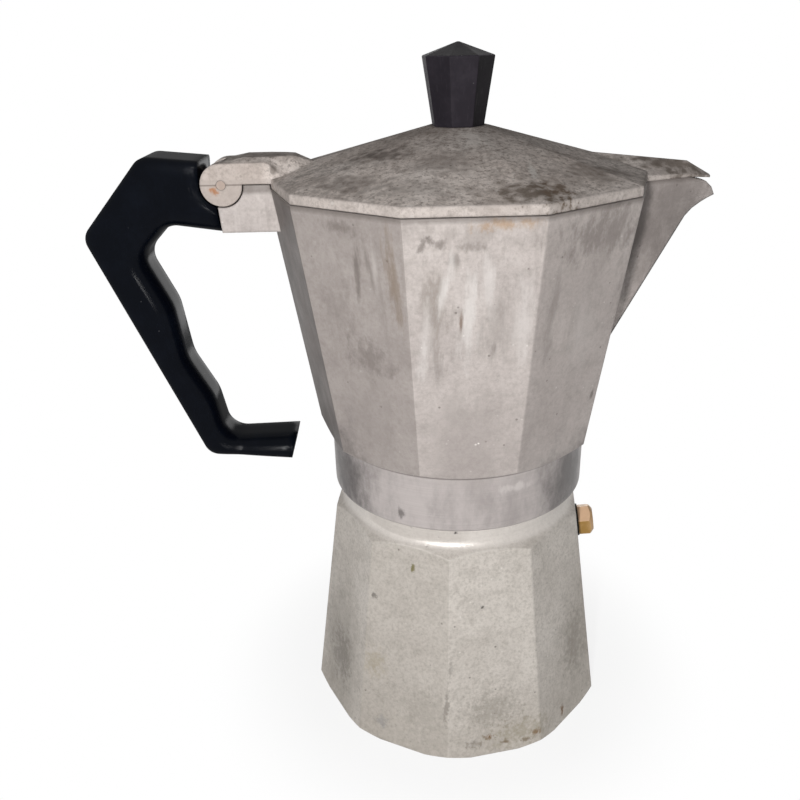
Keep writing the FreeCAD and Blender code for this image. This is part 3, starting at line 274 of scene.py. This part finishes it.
# Painted shadow down the spout's root, painted shade on the spout's flanks and on the sides of the collar
# and the flats above it, and broad darker patches low on the front
COLLECTOR_PAINTED_SHADE_AND_PATCHES = [
    # Painted shadow: dark strips down the spout's root, on both sides
    ((51.5, -4.5, 164.0), 6.2, 27.0, 0, 0, "#2b2521", 0.92),
    ((51.5, 4.5, 164.0), 6.2, 27.0, 0, 0, "#2b2521", 0.92),
    # Broad darker patches low on the front and front-left flats
    ((0.0, -44.0, 110.0), 21.0, 24.0, 0, 0, "#9c938f", 0.5),
    ((-29.0, -34.0, 114.0), 16.0, 22.0, -36, 0, "#8b827e", 0.35),
    # Painted shade on the spout's two flanks
    ((62.0, -4.0, 158.0), 20.0, 36.0, 18, 0, "#7d7571", 0.75),
    ((62.0, 4.0, 158.0), 20.0, 36.0, -18, 0, "#7d7571", 0.75),
    # Painted shade on the left and right sides of the collar and the flats above it
    ((-38.0, -18.0, 90.0), 24.0, 28.0, -66, 0, "#423b39", 0.95),
    ((33.0, -24.5, 90.0), 20.0, 26.0, 54, 0, "#46413f", 0.85),
]

COLLECTOR_STAINS = [
    ((34.0, -40.0, 170.0), 17.0, 8.0, 36, 0, "#786f6a", 0.6),
    ((0.0, -50.0, 172.0), 18.0, 4.5, 0, 0, "#8f8680", 0.4),
    ((-8.7, -52.8, 170.6), 3.6, 1.6, 0, 25, "#6b625c", 0.6),
    ((-12.6, -52.6, 170.0), 1.0, 3.0, 0, 30, "#625953", 0.6),
    ((-0.6, -52.5, 169.6), 6.0, 1.2, 0, 0, "#7c736d", 0.45),
    ((7.7, -53.4, 175.0), 8.0, 2.0, 0, 0, "#ad8a62", 0.6),
    ((-2.0, -45.5, 124.0), 9.0, 8.0, 0, 0, "#a59d98", 0.4),
    ((-32.4, -41.9, 172.6), 6.0, 2.6, -36, 0, "#6d645e", 0.6),
    ((-26.5, -40.1, 137.0), 9.0, 6.0, -36, 0, "#6f6661", 0.55),
    ((-33.0, -36.0, 150.0), 7.0, 8.0, -36, 0, "#7a716c", 0.35),
    ((36.7, -28.9, 119.6), 0.9, 1.6, 36, 0, "#625a54", 0.7),
    ((31.0, -37.5, 143.0), 7.0, 16.0, 36, 0, "#b0a9a5", 0.4),
    ((40.0, -26.0, 150.0), 6.0, 9.0, 36, 0, "#7f7772", 0.45),
    ((-19.5, -36.5, 86.0), 1.4, 1.8, -28, 0, "#4f4845", 0.7),
    ((14.0, -38.6, 95.0), 5.0, 1.6, 20, 0, "#dcd5d1", 0.5),
]

COLLECTOR_RUNS = [
    ((-9.4, -50.1, 153.6), 4.6, 14.0, 0, 4, "#8a8078", 0.65),
    ((6.3, -49.2, 147.6), 6.0, 10.0, 0, 0, "#968e89", 0.5),
    ((13.0, -48.0, 152.0), 3.4, 16.0, 0, 0, "#dcd6d2", 0.45),
    ((-1.1, -49.6, 150.1), 2.6, 14.0, 0, 3, "#dfdad6", 0.6),
    ((-6.7, -50.9, 159.0), 1.6, 9.5, 0, 12, "#e0dbd7", 0.65),
    ((-12.0, -48.6, 143.9), 2.4, 12.0, 0, 6, "#ddd7d3", 0.6),
    ((4.0, -49.8, 160.5), 2.0, 10.5, 0, -3, "#dad4d0", 0.5),
    ((-8.6, -47.5, 136.4), 1.4, 7.0, 0, 0, "#8f8782", 0.5),
    ((-2.9, -49.6, 150.1), 0.7, 4.8, 0, 0, "#725c4b", 0.8),
    ((5.3, -48.2, 141.3), 0.8, 3.8, 0, 12, "#847c76", 0.5),
    ((-4.1, -52.0, 166.4), 1.0, 3.0, 0, 0, "#766d66", 0.5),
    ((-29.0, -43.6, 163.0), 1.4, 9.5, -36, 6, "#675e58", 0.65),
    ((-25.6, -45.2, 165.0), 1.3, 8.0, -36, -8, "#6b625c", 0.55),
    ((-24.0, -46.2, 164.5), 1.2, 8.0, -36, 0, "#c6bfba", 0.5),
    ((-19.6, -48.9, 160.0), 2.6, 14.0, -36, 0, "#7d6b59", 0.65),
    ((20.5, -46.5, 150.0), 1.8, 20.0, 36, 0, "#847c77", 0.45),
]

LID_MARKS = [
    ((15.2, -46.7, 181.4), 12.0, 9.0, 0, 0, "#574a3b", 0.75),
    ((20.5, -44.0, 181.3), 5.0, 6.0, 0, 0, "#6a5540", 0.6),
    ((-22.9, -17.9, 186.7), 9.0, 6.0, -36, 0, "#4d443e", 0.7),
    ((-30.0, -34.0, 182.0), 14.0, 7.0, -36, 0, "#5e554f", 0.5),
    ((3.0, -16.0, 190.0), 4.0, 5.0, 0, 0, "#cfc8c2", 0.7),
    ((16.3, -34.6, 184.0), 1.3, 3.0, 0, 0, "#ded8d2", 0.8),
    ((36.0, -26.0, 183.0), 18.0, 10.0, 36, 0, "#7d726a", 0.6),
    ((63.0, -2.0, 181.0), 22.0, 10.0, 0, 0, "#6a6057", 0.8),
    ((-6.0, -30.0, 186.0), 9.0, 8.0, 0, 0, "#5f5650", 0.45),
    ((-12.5, -44.3, 182.1), 9.0, 5.0, 0, 0, "#a59d97", 0.4),
    ((-69.6, -8.6, 176.6), 1.5, 1.4, 0, 0, "#b07444", 0.8),
    ((-52.6, -8.6, 182.0), 0.9, 1.8, 0, 0, "#6b635c", 0.6),
    ((-57.0, 0.0, 185.0), 16.0, 5.0, 0, 0, "#7d746d", 0.5),
]


# Heights in millimetres: where dirt on the foot ends, and where the shoulder's turned face starts
FOOT_DIRT_TOP = 30.0
TURNED_SHOULDER = (72.6, 74.2)
# Stretch of turning marks: long round the pot, half a millimetre high; real ones are finer and wouldn't show
SHOULDER_MARKS = (0.02, 0.02, 2.2)
COLLAR_MARKS = (0.03, 0.03, 2.6)


def cast_boiler():
    """Cast aluminium, sand-blasted and scrubbed: sandy grain, pits, rust low down, pale turned shoulder;
    painted shade on the front-left and side flats and a painted dark spot in the gap under the collar.
    """
    material, tree = new_material("sand_cast_aluminium_boiler")
    place = millimetres(tree)
    colour, rough, height = casting(tree, place, "#d2cbc3", "#c1bab2", "#80786e",
                                    cloud=0.5, mottle=0.3, speck=0.5, grain_mm=1.0)
    level = add(tree, "SeparateXYZ", place).outputs["Z"]
    low = add(tree, "MapRange", level, FOOT_DIRT_TOP, 0.0, 0.0, 0.2, interpolation_type="SMOOTHSTEP")
    colour = add(tree, "MixRGB", low, colour, linear("#938a7c"))
    turned = add(tree, "MapRange", level, *TURNED_SHOULDER, interpolation_type="SMOOTHSTEP")
    lines = add(tree, "TexNoise", add(tree, "Mapping", place, Scale=SHOULDER_MARKS), Scale=1.0, Detail=2.0)
    bright = add(tree, "MixRGB", lines, linear("#ece6e0"), linear("#d6cfc9"))
    share = add(tree, "Math", turned, 0.6, operation="MULTIPLY")
    colour = add(tree, "MixRGB", share, colour, bright)
    ragged = ragged_noise(tree, place, (1.0, 1.0, 0.8), size_mm=1.6, reach=0.9)
    cloudy = ragged_noise(tree, place, (1.0, 1.0, 1.0), size_mm=7.0, reach=0.3)
    # Painted shade on the front-left flat and over the side flats
    colour = painted_flat_shading(tree, place, colour, BOILER_SHADED_FLATS)
    colour = oval_marks(tree, place, colour, BOILER_PAINTED_SHADE, cloudy)
    colour = oval_marks(tree, place, colour, BOILER_MARKS, ragged)
    soft, edge = worn_edges(tree, radius_mm=0.9, gain=0.05)
    colour = tinted(tree, colour, "#d8d2ca", edge, 0.18)
    rough = add(tree, "MapRange", turned, 0.0, 1.0, rough, 0.36)
    metallic = add(tree, "MapRange", turned, 0.0, 1.0, 0.12, 0.25)
    metal_shader(tree, colour, metallic, rough, height, soft, depth_mm=0.22)
    return material


# Heights on the collector in millimetres: the collar's top, the rim, and where water runs start and are full
COLLAR_TOP = 99.9
RIM = 176.8
RUN_HEIGHTS = (118.0, 150.0)
RUN_MM = 3.6
SMEAR_MM = 8.0
# A spatter of chalk: its middle and half size in millimetres
CHALK_PLACE = (2.5, -44.0, 113.4)
CHALK_SIZE = (5.5, MARK_DEPTH, 1.8)


def cast_collector():
    """Cast aluminium dulled by steam: water runs, brown stain marks, turned collar; painted shadow down the
    spout's root, and painted shade on the side flats, the spout's flanks, the collar's sides and under the
    lid's eave.
    """
    material, tree = new_material("sand_cast_aluminium_collector")
    place = millimetres(tree)
    colour, rough, height = casting(tree, place, "#c7beb9", "#b3aaa6", "#857c76",
                                    cloud=0.6, mottle=0.4, speck=0.38, grain_mm=1.1)
    level = add(tree, "SeparateXYZ", place).outputs["Z"]
    runs = add(tree, "TexNoise", add(tree, "Mapping", place, Scale=(1.0, 1.0, 0.1)), Scale=1 / RUN_MM,
               Detail=5.0, Roughness=0.65, Distortion=0.3)
    reach = add(tree, "MapRange", level, *RUN_HEIGHTS, 0.15, 1.0, interpolation_type="SMOOTHSTEP")
    pale = add(tree, "MapRange", runs, 0.54, 0.74, 0.0, 0.3, interpolation_type="SMOOTHSTEP")
    colour = tinted(tree, colour, "#dcd5d1", pale, reach)
    dark = add(tree, "MapRange", runs, 0.46, 0.26, 0.0, 0.4, interpolation_type="SMOOTHSTEP")
    colour = tinted(tree, colour, "#8d847f", dark, reach)
    # Painted shade on the front-left, left and front-right flats
    colour = painted_flat_shading(tree, place, colour, COLLECTOR_SHADED_FLATS)
    collar = add(tree, "MapRange", level, COLLAR_TOP, COLLAR_TOP - 0.3)
    rings = add(tree, "TexNoise", add(tree, "Mapping", place, Scale=COLLAR_MARKS), Scale=1.0,
                Detail=3.0, Roughness=0.7)
    smear = add(tree, "TexNoise", add(tree, "Mapping", place, Scale=(1.0, 1.0, 0.5)), Scale=1 / SMEAR_MM,
                Detail=6.0, Roughness=0.7)
    turned = add(tree, "MixRGB", rings, linear("#c6bebb"), linear("#b0a8a5"))
    share = add(tree, "MapRange", smear, 0.38, 0.72, 0.0, 0.5, interpolation_type="SMOOTHSTEP")
    turned = add(tree, "MixRGB", share, turned, linear("#857d7b"))
    colour = add(tree, "MixRGB", collar, colour, turned)
    ragged = ragged_noise(tree, place, (1.0, 1.0, 0.6), size_mm=3.0, reach=0.75)
    drawn = ragged_noise(tree, place, (1.0, 1.0, 0.16), size_mm=2.0, reach=0.6)
    cloudy = ragged_noise(tree, place, (1.0, 1.0, 0.6), size_mm=7.0, reach=0.3)
    # Painted shadow in the spout's root, painted shade on its flanks and the collar's sides, and darker
    # patches low on the front
    colour = oval_marks(tree, place, colour, COLLECTOR_PAINTED_SHADE_AND_PATCHES, cloudy)
    colour = oval_marks(tree, place, colour, COLLECTOR_STAINS, ragged)
    colour = oval_marks(tree, place, colour, COLLECTOR_RUNS, drawn)
    chalk = pits(tree, place, spacing_mm=1.5, radius_mm=0.42, kept=0.75)
    spot = add(tree, "Mapping", place, CHALK_PLACE, Scale=CHALK_SIZE, vector_type="TEXTURE")
    off = add(tree, "VectorMath", spot, operation="LENGTH").outputs["Value"]
    near = add(tree, "MapRange", off, 1.2, 0.4, 0.0, 0.8)
    colour = tinted(tree, colour, "#f1ede9", chalk, near)
    soft, edge = worn_edges(tree, radius_mm=1.0, gain=0.05)
    colour = tinted(tree, colour, "#d3cbc6", edge, 0.15)
    above = add(tree, "Math", level, COLLAR_TOP - 0.25, operation="SUBTRACT")
    off = add(tree, "Math", above, operation="ABSOLUTE")
    seam = add(tree, "MapRange", off, 0.55, 0.2, 0.0, 0.65)
    colour = add(tree, "MixRGB", seam, colour, linear("#5f5754"))
    # Painted shade: a dark band just under the rim, where the lid's eave overhangs it
    under_lid_shade = add(tree, "MapRange", level, RIM - 1.6, RIM - 0.4, 0.0, 0.6)
    colour = add(tree, "MixRGB", under_lid_shade, colour, linear("#5d544e"))
    rough = add(tree, "MapRange", collar, 0.0, 1.0, rough, 0.42)
    height = add(tree, "MixRGB", collar, height, rings)
    metallic = add(tree, "MapRange", collar, 0.0, 1.0, 0.12, 0.22)
    metal_shader(tree, colour, metallic, rough, height, soft, depth_mm=0.16)
    return material


# Places on the lid in millimetres: the eave, where the slope starts to darken towards the top and where it
# is dark, the hinge's seam, and where the hinge's arm starts and its near flank stands
EAVE = 179.5
TOP_DARKENING = (184.0, 191.5)
HINGE_SEAM = 178.25
ARM_START = (-52.0, -57.0)
NEAR_FLANK = (-8.0, -8.5)


def cast_lid():
    """Cast aluminium, darker towards the top, quite matt: brown and grey mottling, pale specks, rust at the
    pin.
    """
    material, tree = new_material("sand_cast_aluminium_lid")
    place = millimetres(tree)
    colour, rough, height = casting(tree, place, "#f0e6df", "#dacec6", "#6a5f57",
                                    cloud=0.9, mottle=0.6, speck=0.95, grain_mm=1.2)
    parts = add(tree, "SeparateXYZ", place).outputs
    eave = add(tree, "MapRange", parts["Z"], EAVE + 0.4, EAVE, 0.0, 0.55)
    colour = add(tree, "MixRGB", eave, colour, linear("#b9b0aa"))
    # The slope turns darker towards the top
    darker_top = add(tree, "MapRange", parts["Z"], *TOP_DARKENING, 0.0, 0.45)
    colour = add(tree, "MixRGB", darker_top, colour, linear("#655c56"))
    specks = pits(tree, place, spacing_mm=5.0, radius_mm=0.7, kept=0.4)
    colour = tinted(tree, colour, "#d3ccc6", specks, 0.6)
    soft, edge = worn_edges(tree, radius_mm=0.8, gain=0.06)
    colour = tinted(tree, colour, "#bcb4ae", edge, 0.3)
    arm = add(tree, "MapRange", parts["X"], *ARM_START, interpolation_type="SMOOTHSTEP")
    side = add(tree, "MapRange", parts["Y"], *NEAR_FLANK)
    flank = add(tree, "Math", arm, side, operation="MULTIPLY")
    colour = tinted(tree, colour, "#bdb1a9", flank, 0.65)
    above = add(tree, "Math", parts["Z"], HINGE_SEAM, operation="SUBTRACT")
    near = add(tree, "MapRange", add(tree, "Math", above, operation="ABSOLUTE"), 0.32, 0.12)
    seam = add(tree, "Math", near, flank, operation="MULTIPLY")
    colour = tinted(tree, colour, "#6e655e", seam, 0.6)
    ragged = ragged_noise(tree, place, (1.0, 1.0, 1.0), size_mm=2.4, reach=1.0)
    colour = oval_marks(tree, place, colour, LID_MARKS, ragged)
    metal_shader(tree, colour, 0.04, rough, height, soft, depth_mm=0.2, level=0.0)
    return material


# Turned, drawn and moulded pieces

def turned_metal(name, bright, dull, metallic, roughness, grain_mm, flats=()):
    """Metal from a lathe or press: a fine grain, dull patches six grains wide, edges rubbed bright, and
    painted light and shade on the flats it is given.

    Tool marks are about 0.1 mm apart; the grain is drawn coarser, to show.
    """
    material, tree = new_material(name)
    place = millimetres(tree)
    patch = add(tree, "TexNoise", place, Scale=1 / (6 * grain_mm), Detail=4.0, Roughness=0.6)
    grain = add(tree, "TexNoise", place, Scale=1 / grain_mm, Detail=3.0, Roughness=0.7)
    share = add(tree, "MapRange", patch, 0.35, 0.65, interpolation_type="SMOOTHSTEP")
    colour = add(tree, "MixRGB", share, linear(bright), linear(dull))
    if flats:
        colour = painted_flat_shading(tree, place, colour, flats)
    soft, edge = worn_edges(tree, radius_mm=0.3, gain=0.08)
    colour = tinted(tree, colour, bright, edge, 0.5)
    rough = add(tree, "MapRange", patch, *NOISE_SPREAD, roughness * 0.85, roughness * 1.25)
    metal_shader(tree, colour, metallic, rough, grain, soft, depth_mm=0.03, level=0.2)
    return material


# Millimetres: from hole to hole, a hole's radius, the blank rim's width and the size of dull patches
HOLE_SPACING = 2.6
HOLE_RADIUS = 0.7
BLANK_RIM = 4.0
PATCH_MM = 5.0


def punched_sheet(name, node):
    """Pressed aluminium sheet, pale grey, with punched holes that are not cut: each is painted as a
    near-black dot of painted shade, in a net inside a blank rim.
    """
    material, tree = new_material(name)
    place = millimetres(tree)
    patch = add(tree, "TexNoise", place, Scale=1 / PATCH_MM, Detail=4.0, Roughness=0.6)
    colour = add(tree, "MixRGB", patch, linear("#cfcdca"), linear("#a8a5a2"))
    net = add(tree, "TexVoronoi", place, Scale=1 / HOLE_SPACING, Randomness=0.0, voronoi_dimensions="2D")
    dot = add(tree, "MapRange", net.outputs["Distance"], HOLE_RADIUS / HOLE_SPACING,
              0.8 * HOLE_RADIUS / HOLE_SPACING)
    off = add(tree, "VectorMath", add(tree, "Mapping", place, Scale=(1.0, 1.0, 0.0)), operation="LENGTH")
    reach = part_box(node)[1][0] / MM - BLANK_RIM
    field = add(tree, "Math", off.outputs["Value"], reach, operation="LESS_THAN")
    hole = add(tree, "Math", dot, field, operation="MULTIPLY")
    # Painted shade: each hole is a near-black dot, not an opening
    colour = add(tree, "MixRGB", hole, colour, linear("#171514"))
    rough = add(tree, "MapRange", patch, *NOISE_SPREAD, 0.3, 0.45)
    depth = add(tree, "Math", hole, -1.0, operation="MULTIPLY")
    soft = worn_edges(tree, radius_mm=0.3, gain=0.08)[0]
    metallic = add(tree, "MapRange", hole, 0.0, 1.0, 0.6, 0.0)
    metal_shader(tree, colour, metallic, rough, depth, soft, depth_mm=0.4)
    return material


HAZE_MM = 9.0
# Scratches are about 0.1 mm wide, and are drawn coarser, to show
SCRATCH_MM = 0.5


def moulded_plastic(name, body, dust, roughness, level, coat, dust_share, rounding_mm, flats=()):
    """Moulded plastic, rubber or fibre: a little dusty, with fine scratches, rounded, rubbed edges, and
    painted shade on the flats it is given.
    """
    material, tree = new_material(name)
    place = millimetres(tree)
    haze = add(tree, "TexNoise", place, Scale=1 / HAZE_MM, Detail=5.0, Roughness=0.65)
    share = add(tree, "MapRange", haze, 0.42, 0.72, 0.0, dust_share, interpolation_type="SMOOTHSTEP")
    colour = add(tree, "MixRGB", share, linear(body), linear(dust))
    if flats:
        colour = painted_flat_shading(tree, place, colour, flats)
    flecks = pits(tree, place, spacing_mm=3.4, radius_mm=0.24, kept=0.25)
    colour = tinted(tree, colour, "#8b8a8c", flecks, 0.22)
    slant = add(tree, "Mapping", place, Rotation=(0.3, 0.5, 0.2), Scale=(1.0, 1.0, 0.07))
    scratch = add(tree, "TexNoise", slant, Scale=1 / SCRATCH_MM, Detail=2.0)
    fine = add(tree, "MapRange", scratch, 0.62, 0.75, 0.0, 0.35)
    colour = add(tree, "MixRGB", fine, colour, linear(dust))
    edge = worn_edges(tree, radius_mm=0.6, gain=0.08)[1]
    colour = tinted(tree, colour, dust, edge, 0.5)
    rough = add(tree, "MapRange", haze, *NOISE_SPREAD, roughness * 0.85, roughness * 1.3)
    soft = add(tree, "Bevel", rounding_mm * MM, samples=EDGE_RAYS)
    bump = add(tree, "Bump", Height=scratch, Strength=0.3, Distance=0.02 * MM, Normal=soft)
    shader = add(tree, "BsdfPrincipled", colour, Roughness=rough, Normal=bump, Specular_IOR_Level=level,
                 Coat_Weight=coat, Coat_Roughness=0.14, Coat_Normal=soft)
    add(tree, "OutputMaterial", shader)
    return material


FINISHES = {
    "boiler": cast_boiler(),
    "collector": cast_collector(),
    "lid": cast_lid(),
    "handle": moulded_plastic("phenolic_handle", "#04070f", "#0e131d", roughness=0.4, level=0.0,
                              coat=0.13, dust_share=0.4, rounding_mm=4.5),
    # The knob's flats carry painted shade
    "lid_knob": moulded_plastic("phenolic_knob", "#2e2a30", "#443f46", roughness=0.5, level=0.08,
                                coat=0.0, dust_share=0.6, rounding_mm=0.6, flats=KNOB_SHADED_FLATS),
    "gasket": moulded_plastic("pale_silicone_rubber", "#d5d0c3", "#bdb6a6", roughness=0.6, level=0.4,
                              coat=0.0, dust_share=0.5, rounding_mm=0.4),
    "funnel_sieve": punched_sheet("punched_aluminium_sieve", "funnel_sieve"),
    "filter_plate": punched_sheet("punched_aluminium_plate", "filter_plate"),
    "valve_washer": moulded_plastic("dark_fibre_washer", "#1d1a18", "#3a3531", roughness=0.8, level=0.3,
                                    coat=0.0, dust_share=0.5, rounding_mm=0.2),
}
SHARED = [
    # The brass valve's flats carry painted light above and painted shade below
    (turned_metal("turned_brass", "#d2ae86", "#ab8656", metallic=0.15, roughness=0.45, grain_mm=0.7,
                  flats=VALVE_LIT_AND_SHADED_FLATS),
     ("valve_body", "valve_cap", "valve_plunger", "knob_insert")),
    (turned_metal("drawn_steel", "#a9a49f", "#7f7a75", metallic=0.8, roughness=0.4, grain_mm=0.6),
     ("valve_spring", "knob_screw", "knob_washer", "handle_screw", "handle_washer")),
    (turned_metal("dulled_rivet_aluminium", "#c3b7ae", "#b3a297", metallic=0.15, roughness=0.55,
                  grain_mm=0.8),
     ("hinge_pin",)),
    (turned_metal("spun_aluminium", "#cfcdca", "#a8a5a2", metallic=0.6, roughness=0.38, grain_mm=0.8),
     ("funnel",)),
]
for finish, names in SHARED:
    FINISHES.update({name: finish for name in names})
for name, finish in FINISHES.items():
    NODES[name].data.materials.clear()
    NODES[name].data.materials.append(finish)


# The screw thread and the spring

def add_wound_piece(name, grid, finish):
    """Closed tube from a grid in millimetres: rings along a path by points round a section, ends shut.

    Seen along the path the points go round from outside to above, so that every face looks outwards.
    """
    rings, points = grid.shape[:2]
    first = np.arange(rings - 1)[:, None] * points + np.arange(points)
    beside = np.arange(rings - 1)[:, None] * points + (np.arange(points) + 1) % points
    walls = np.stack([first, first + points, beside + points, beside], axis=-1).reshape(-1, 4)
    caps = [list(range(points)), list(range(rings * points - 1, (rings - 1) * points - 1, -1))]
    mesh = bpy.data.meshes.new(name)
    mesh.from_pydata((grid.reshape(-1, 3) * MM).tolist(), [], walls.tolist() + caps)
    mesh.materials.append(FINISHES[finish])
    piece = bpy.data.objects.new(name, mesh)
    bpy.context.scene.collection.objects.link(piece)
    return piece


# Radius, pitch and starting height in millimetres, turns, and steps in a turn
NECK_RADIUS = 37.6
THREAD_PITCH = 3.0
THREAD_START = 84.2
THREAD_TURNS = 2.25
STEPS_A_TURN = 96
# Ridge section in millimetres: out from the neck, and up along it; its foot is sunk in the neck's wall
RIDGE_FOOT = 0.3
RIDGE_HEIGHT = 0.22
RIDGE_OUT = np.array([-RIDGE_FOOT, 0.0, RIDGE_HEIGHT, RIDGE_HEIGHT, 0.0, -RIDGE_FOOT])
RIDGE_UP = np.array([-0.9, -0.75, -0.3, 0.3, 0.75, 0.9])
# Radians over which the ridge rises from the neck at each end
RUN_OUT = 0.4


def add_neck_thread():
    """Thread cut round the neck: the section is carried along a helix.

    At the angle t the section's point (out, up) lies at the radius neck + out and at the height
    start + pitch * t / 2 pi + up, and the ridge sinks into the neck over the first and last bit of t.
    """
    angle = np.linspace(0.0, 2 * math.pi * THREAD_TURNS, int(STEPS_A_TURN * THREAD_TURNS) + 1)[:, None]
    sunk = np.clip(np.minimum(angle, angle[-1] - angle) / RUN_OUT, 0.0, 1.0) - 1.0
    radius = NECK_RADIUS + RIDGE_OUT + RIDGE_FOOT * sunk
    height = THREAD_START + RIDGE_UP + THREAD_PITCH * angle / (2 * math.pi)
    grid = np.stack([radius * np.cos(angle), radius * np.sin(angle), height], axis=-1)
    thread = add_wound_piece("neck_thread", grid, "boiler")
    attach(thread, "boiler")


# Turns, the wire's thickness in millimetres, steps in a turn, and points round the wire
SPRING_TURNS = 5
SPRING_WIRE = 0.5
SPRING_STEPS = 24
WIRE_SIDES = 10


def add_valve_spring():
    """Steel wire wound on a helix, which the plunger presses together against the valve's shoulder.

    At the angle t the wire's middle lies at the coil's radius, turned by t about the valve's axis, and
    climbs evenly from the plunger's head to the shoulder; a circle stands square to it.
    """
    lift = next(joint for joint in frame["joints"] if joint["name"] == "valve_lift")
    axis = np.array(lift["axis"]) / np.linalg.norm(lift["axis"])
    solid = NODES["valve_spring"].data.vertices
    places = np.empty(3 * len(solid))
    solid.foreach_get("co", places)
    places = places.reshape(-1, 3) / MM
    along = places @ axis
    away = places - along[:, None] * axis
    middle = 0.5 * (away.min(axis=0) + away.max(axis=0))
    wire = 0.5 * SPRING_WIRE
    coil = np.linalg.norm(away - middle, axis=1).max() - wire
    low, high = along.min() + wire, along.max() - wire
    aside = np.cross(axis, (0.0, 0.0, 1.0))
    aside /= np.linalg.norm(aside)
    angle = np.linspace(0.0, 2 * math.pi * SPRING_TURNS, SPRING_STEPS * SPRING_TURNS + 1)[:, None]
    out = np.cos(angle) * aside + np.sin(angle) * np.cross(axis, aside)
    path = middle + coil * out + (low + (high - low) * angle / angle[-1]) * axis
    ahead = coil * np.cross(axis, out) + (high - low) / angle[-1] * axis
    over = np.cross(out, ahead / np.linalg.norm(ahead, axis=1)[:, None])
    around = np.linspace(0.0, 2 * math.pi, WIRE_SIDES, endpoint=False)[:, None]
    ring = np.cos(around) * out[:, None, :] + np.sin(around) * over[:, None, :]
    spring = add_wound_piece("wound_valve_spring", path[:, None, :] + wire * ring, "valve_spring")
    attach(spring, "boiler")
    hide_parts("valve_spring")
    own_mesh(spring)


add_neck_thread()
add_valve_spring()


# Stage, light and camera

# Metres: half the floor's side, and the distances at which its shadow starts to fade and is gone
FLOOR_HALF = 6.0
SHADOW_FADE = (0.05, 0.095)


def background_rays(tree):
    """One for rays from the camera, from gloss and through glass, which see the white background."""
    path = add(tree, "LightPath").outputs
    seen = add(tree, "Math", path["Is Camera Ray"], path["Is Glossy Ray"], operation="MAXIMUM")
    return add(tree, "Math", seen, path["Is Transmission Ray"], operation="MAXIMUM")


def add_stage():
    """Wide white floor that keeps a soft shadow near the pot."""
    mesh = bpy.data.meshes.new("floor")
    corners = [(x * FLOOR_HALF, y * FLOOR_HALF, 0) for x, y in ((-1, -1), (1, -1), (1, 1), (-1, 1))]
    mesh.from_pydata(corners, [], [(0, 1, 2, 3)])
    floor = bpy.data.objects.new("floor", mesh)
    bpy.context.scene.collection.objects.link(floor)
    material, tree = new_material("white_paper_floor")
    place = add(tree, "TexCoord").outputs["Object"]
    off = add(tree, "VectorMath", place, operation="LENGTH").outputs["Value"]
    paper = add(tree, "BsdfDiffuse", linear("#f4f4f4"))
    glow = add(tree, "Emission", (1, 1, 1, 1), 1.0)
    shaded = add(tree, "MixShader", 0.85, paper, glow)
    fade = add(tree, "MapRange", off, *SHADOW_FADE, interpolation_type="SMOOTHSTEP")
    white = add(tree, "MixShader", fade, shaded, glow)
    add(tree, "OutputMaterial", add(tree, "MixShader", background_rays(tree), paper, white))
    mesh.materials.append(material)


def add_world():
    """Even studio light; the camera, metal and glass see it white."""
    world = bpy.data.worlds.new("studio")
    bpy.context.scene.world = world
    world.use_nodes = True
    tree = world.node_tree
    tree.nodes.clear()
    strength = add(tree, "MapRange", background_rays(tree), 0.0, 1.0, 0.12, 1.0)
    add(tree, "OutputWorld", add(tree, "Background", (1, 1, 1, 1), strength))


def add_lamp(name, place, target, size, power):
    """Square soft lamp that points from its place to the target."""
    data = bpy.data.lights.new(name, "AREA")
    data.size = size
    data.energy = power
    lamp = bpy.data.objects.new(name, data)
    lamp.location = place
    way = Vector(target) - Vector(place)
    lamp.rotation_euler = way.to_track_quat("-Z", "Y").to_euler()
    bpy.context.scene.collection.objects.link(lamp)


# The camera's place in metres, its yaw, pitch and roll in degrees, its lens and sensor in millimetres, and
# the shift of its frame
CAMERA_PLACE = (-0.01824, -0.24108, 0.2158)
CAMERA_TURN = (1.366, 24.347, -1.079)
LENS = 36.156
SENSOR = 36.0
SHIFT = (-0.02425, -0.0015)


def add_camera():
    """Camera of the photograph: where it stood, how it was turned, and its frame's shift."""
    yaw, pitch, roll = (math.radians(a) for a in CAMERA_TURN)
    ahead = Vector((math.sin(yaw) * math.cos(pitch), math.cos(yaw) * math.cos(pitch), -math.sin(pitch)))
    level = Vector((math.cos(yaw), -math.sin(yaw), 0))
    rise = level.cross(ahead)
    right = level * math.cos(roll) + rise * math.sin(roll)
    up = rise * math.cos(roll) - level * math.sin(roll)
    data = bpy.data.cameras.new("photo_camera")
    data.sensor_width = SENSOR
    data.lens = LENS
    data.shift_x, data.shift_y = SHIFT
    data.clip_start = 0.01
    camera = bpy.data.objects.new("photo_camera", data)
    turned = Matrix((right, up, -ahead)).transposed().to_4x4()
    camera.matrix_world = Matrix.Translation(CAMERA_PLACE) @ turned
    bpy.context.scene.collection.objects.link(camera)
    bpy.context.scene.camera = camera


# Lamps: place, target and size in metres, power in watts
LAMPS = {
    "key": ((-0.105, -0.42, 0.25), (0, 0, 0.1), 0.02, 1.24),
    "glint": ((0.0, -0.38, 0.15), (-0.09, 0, 0.14), 0.03, 0.12),
    "back": ((0.1, 0.5, 0.1), (0, 0, 0.1), 0.3, 1.3),
}

add_stage()
add_world()
add_camera()
for name, (place, target, size, power) in LAMPS.items():
    add_lamp(name, place, target, size, power)
bpy.context.scene.view_settings.view_transform = "Standard"
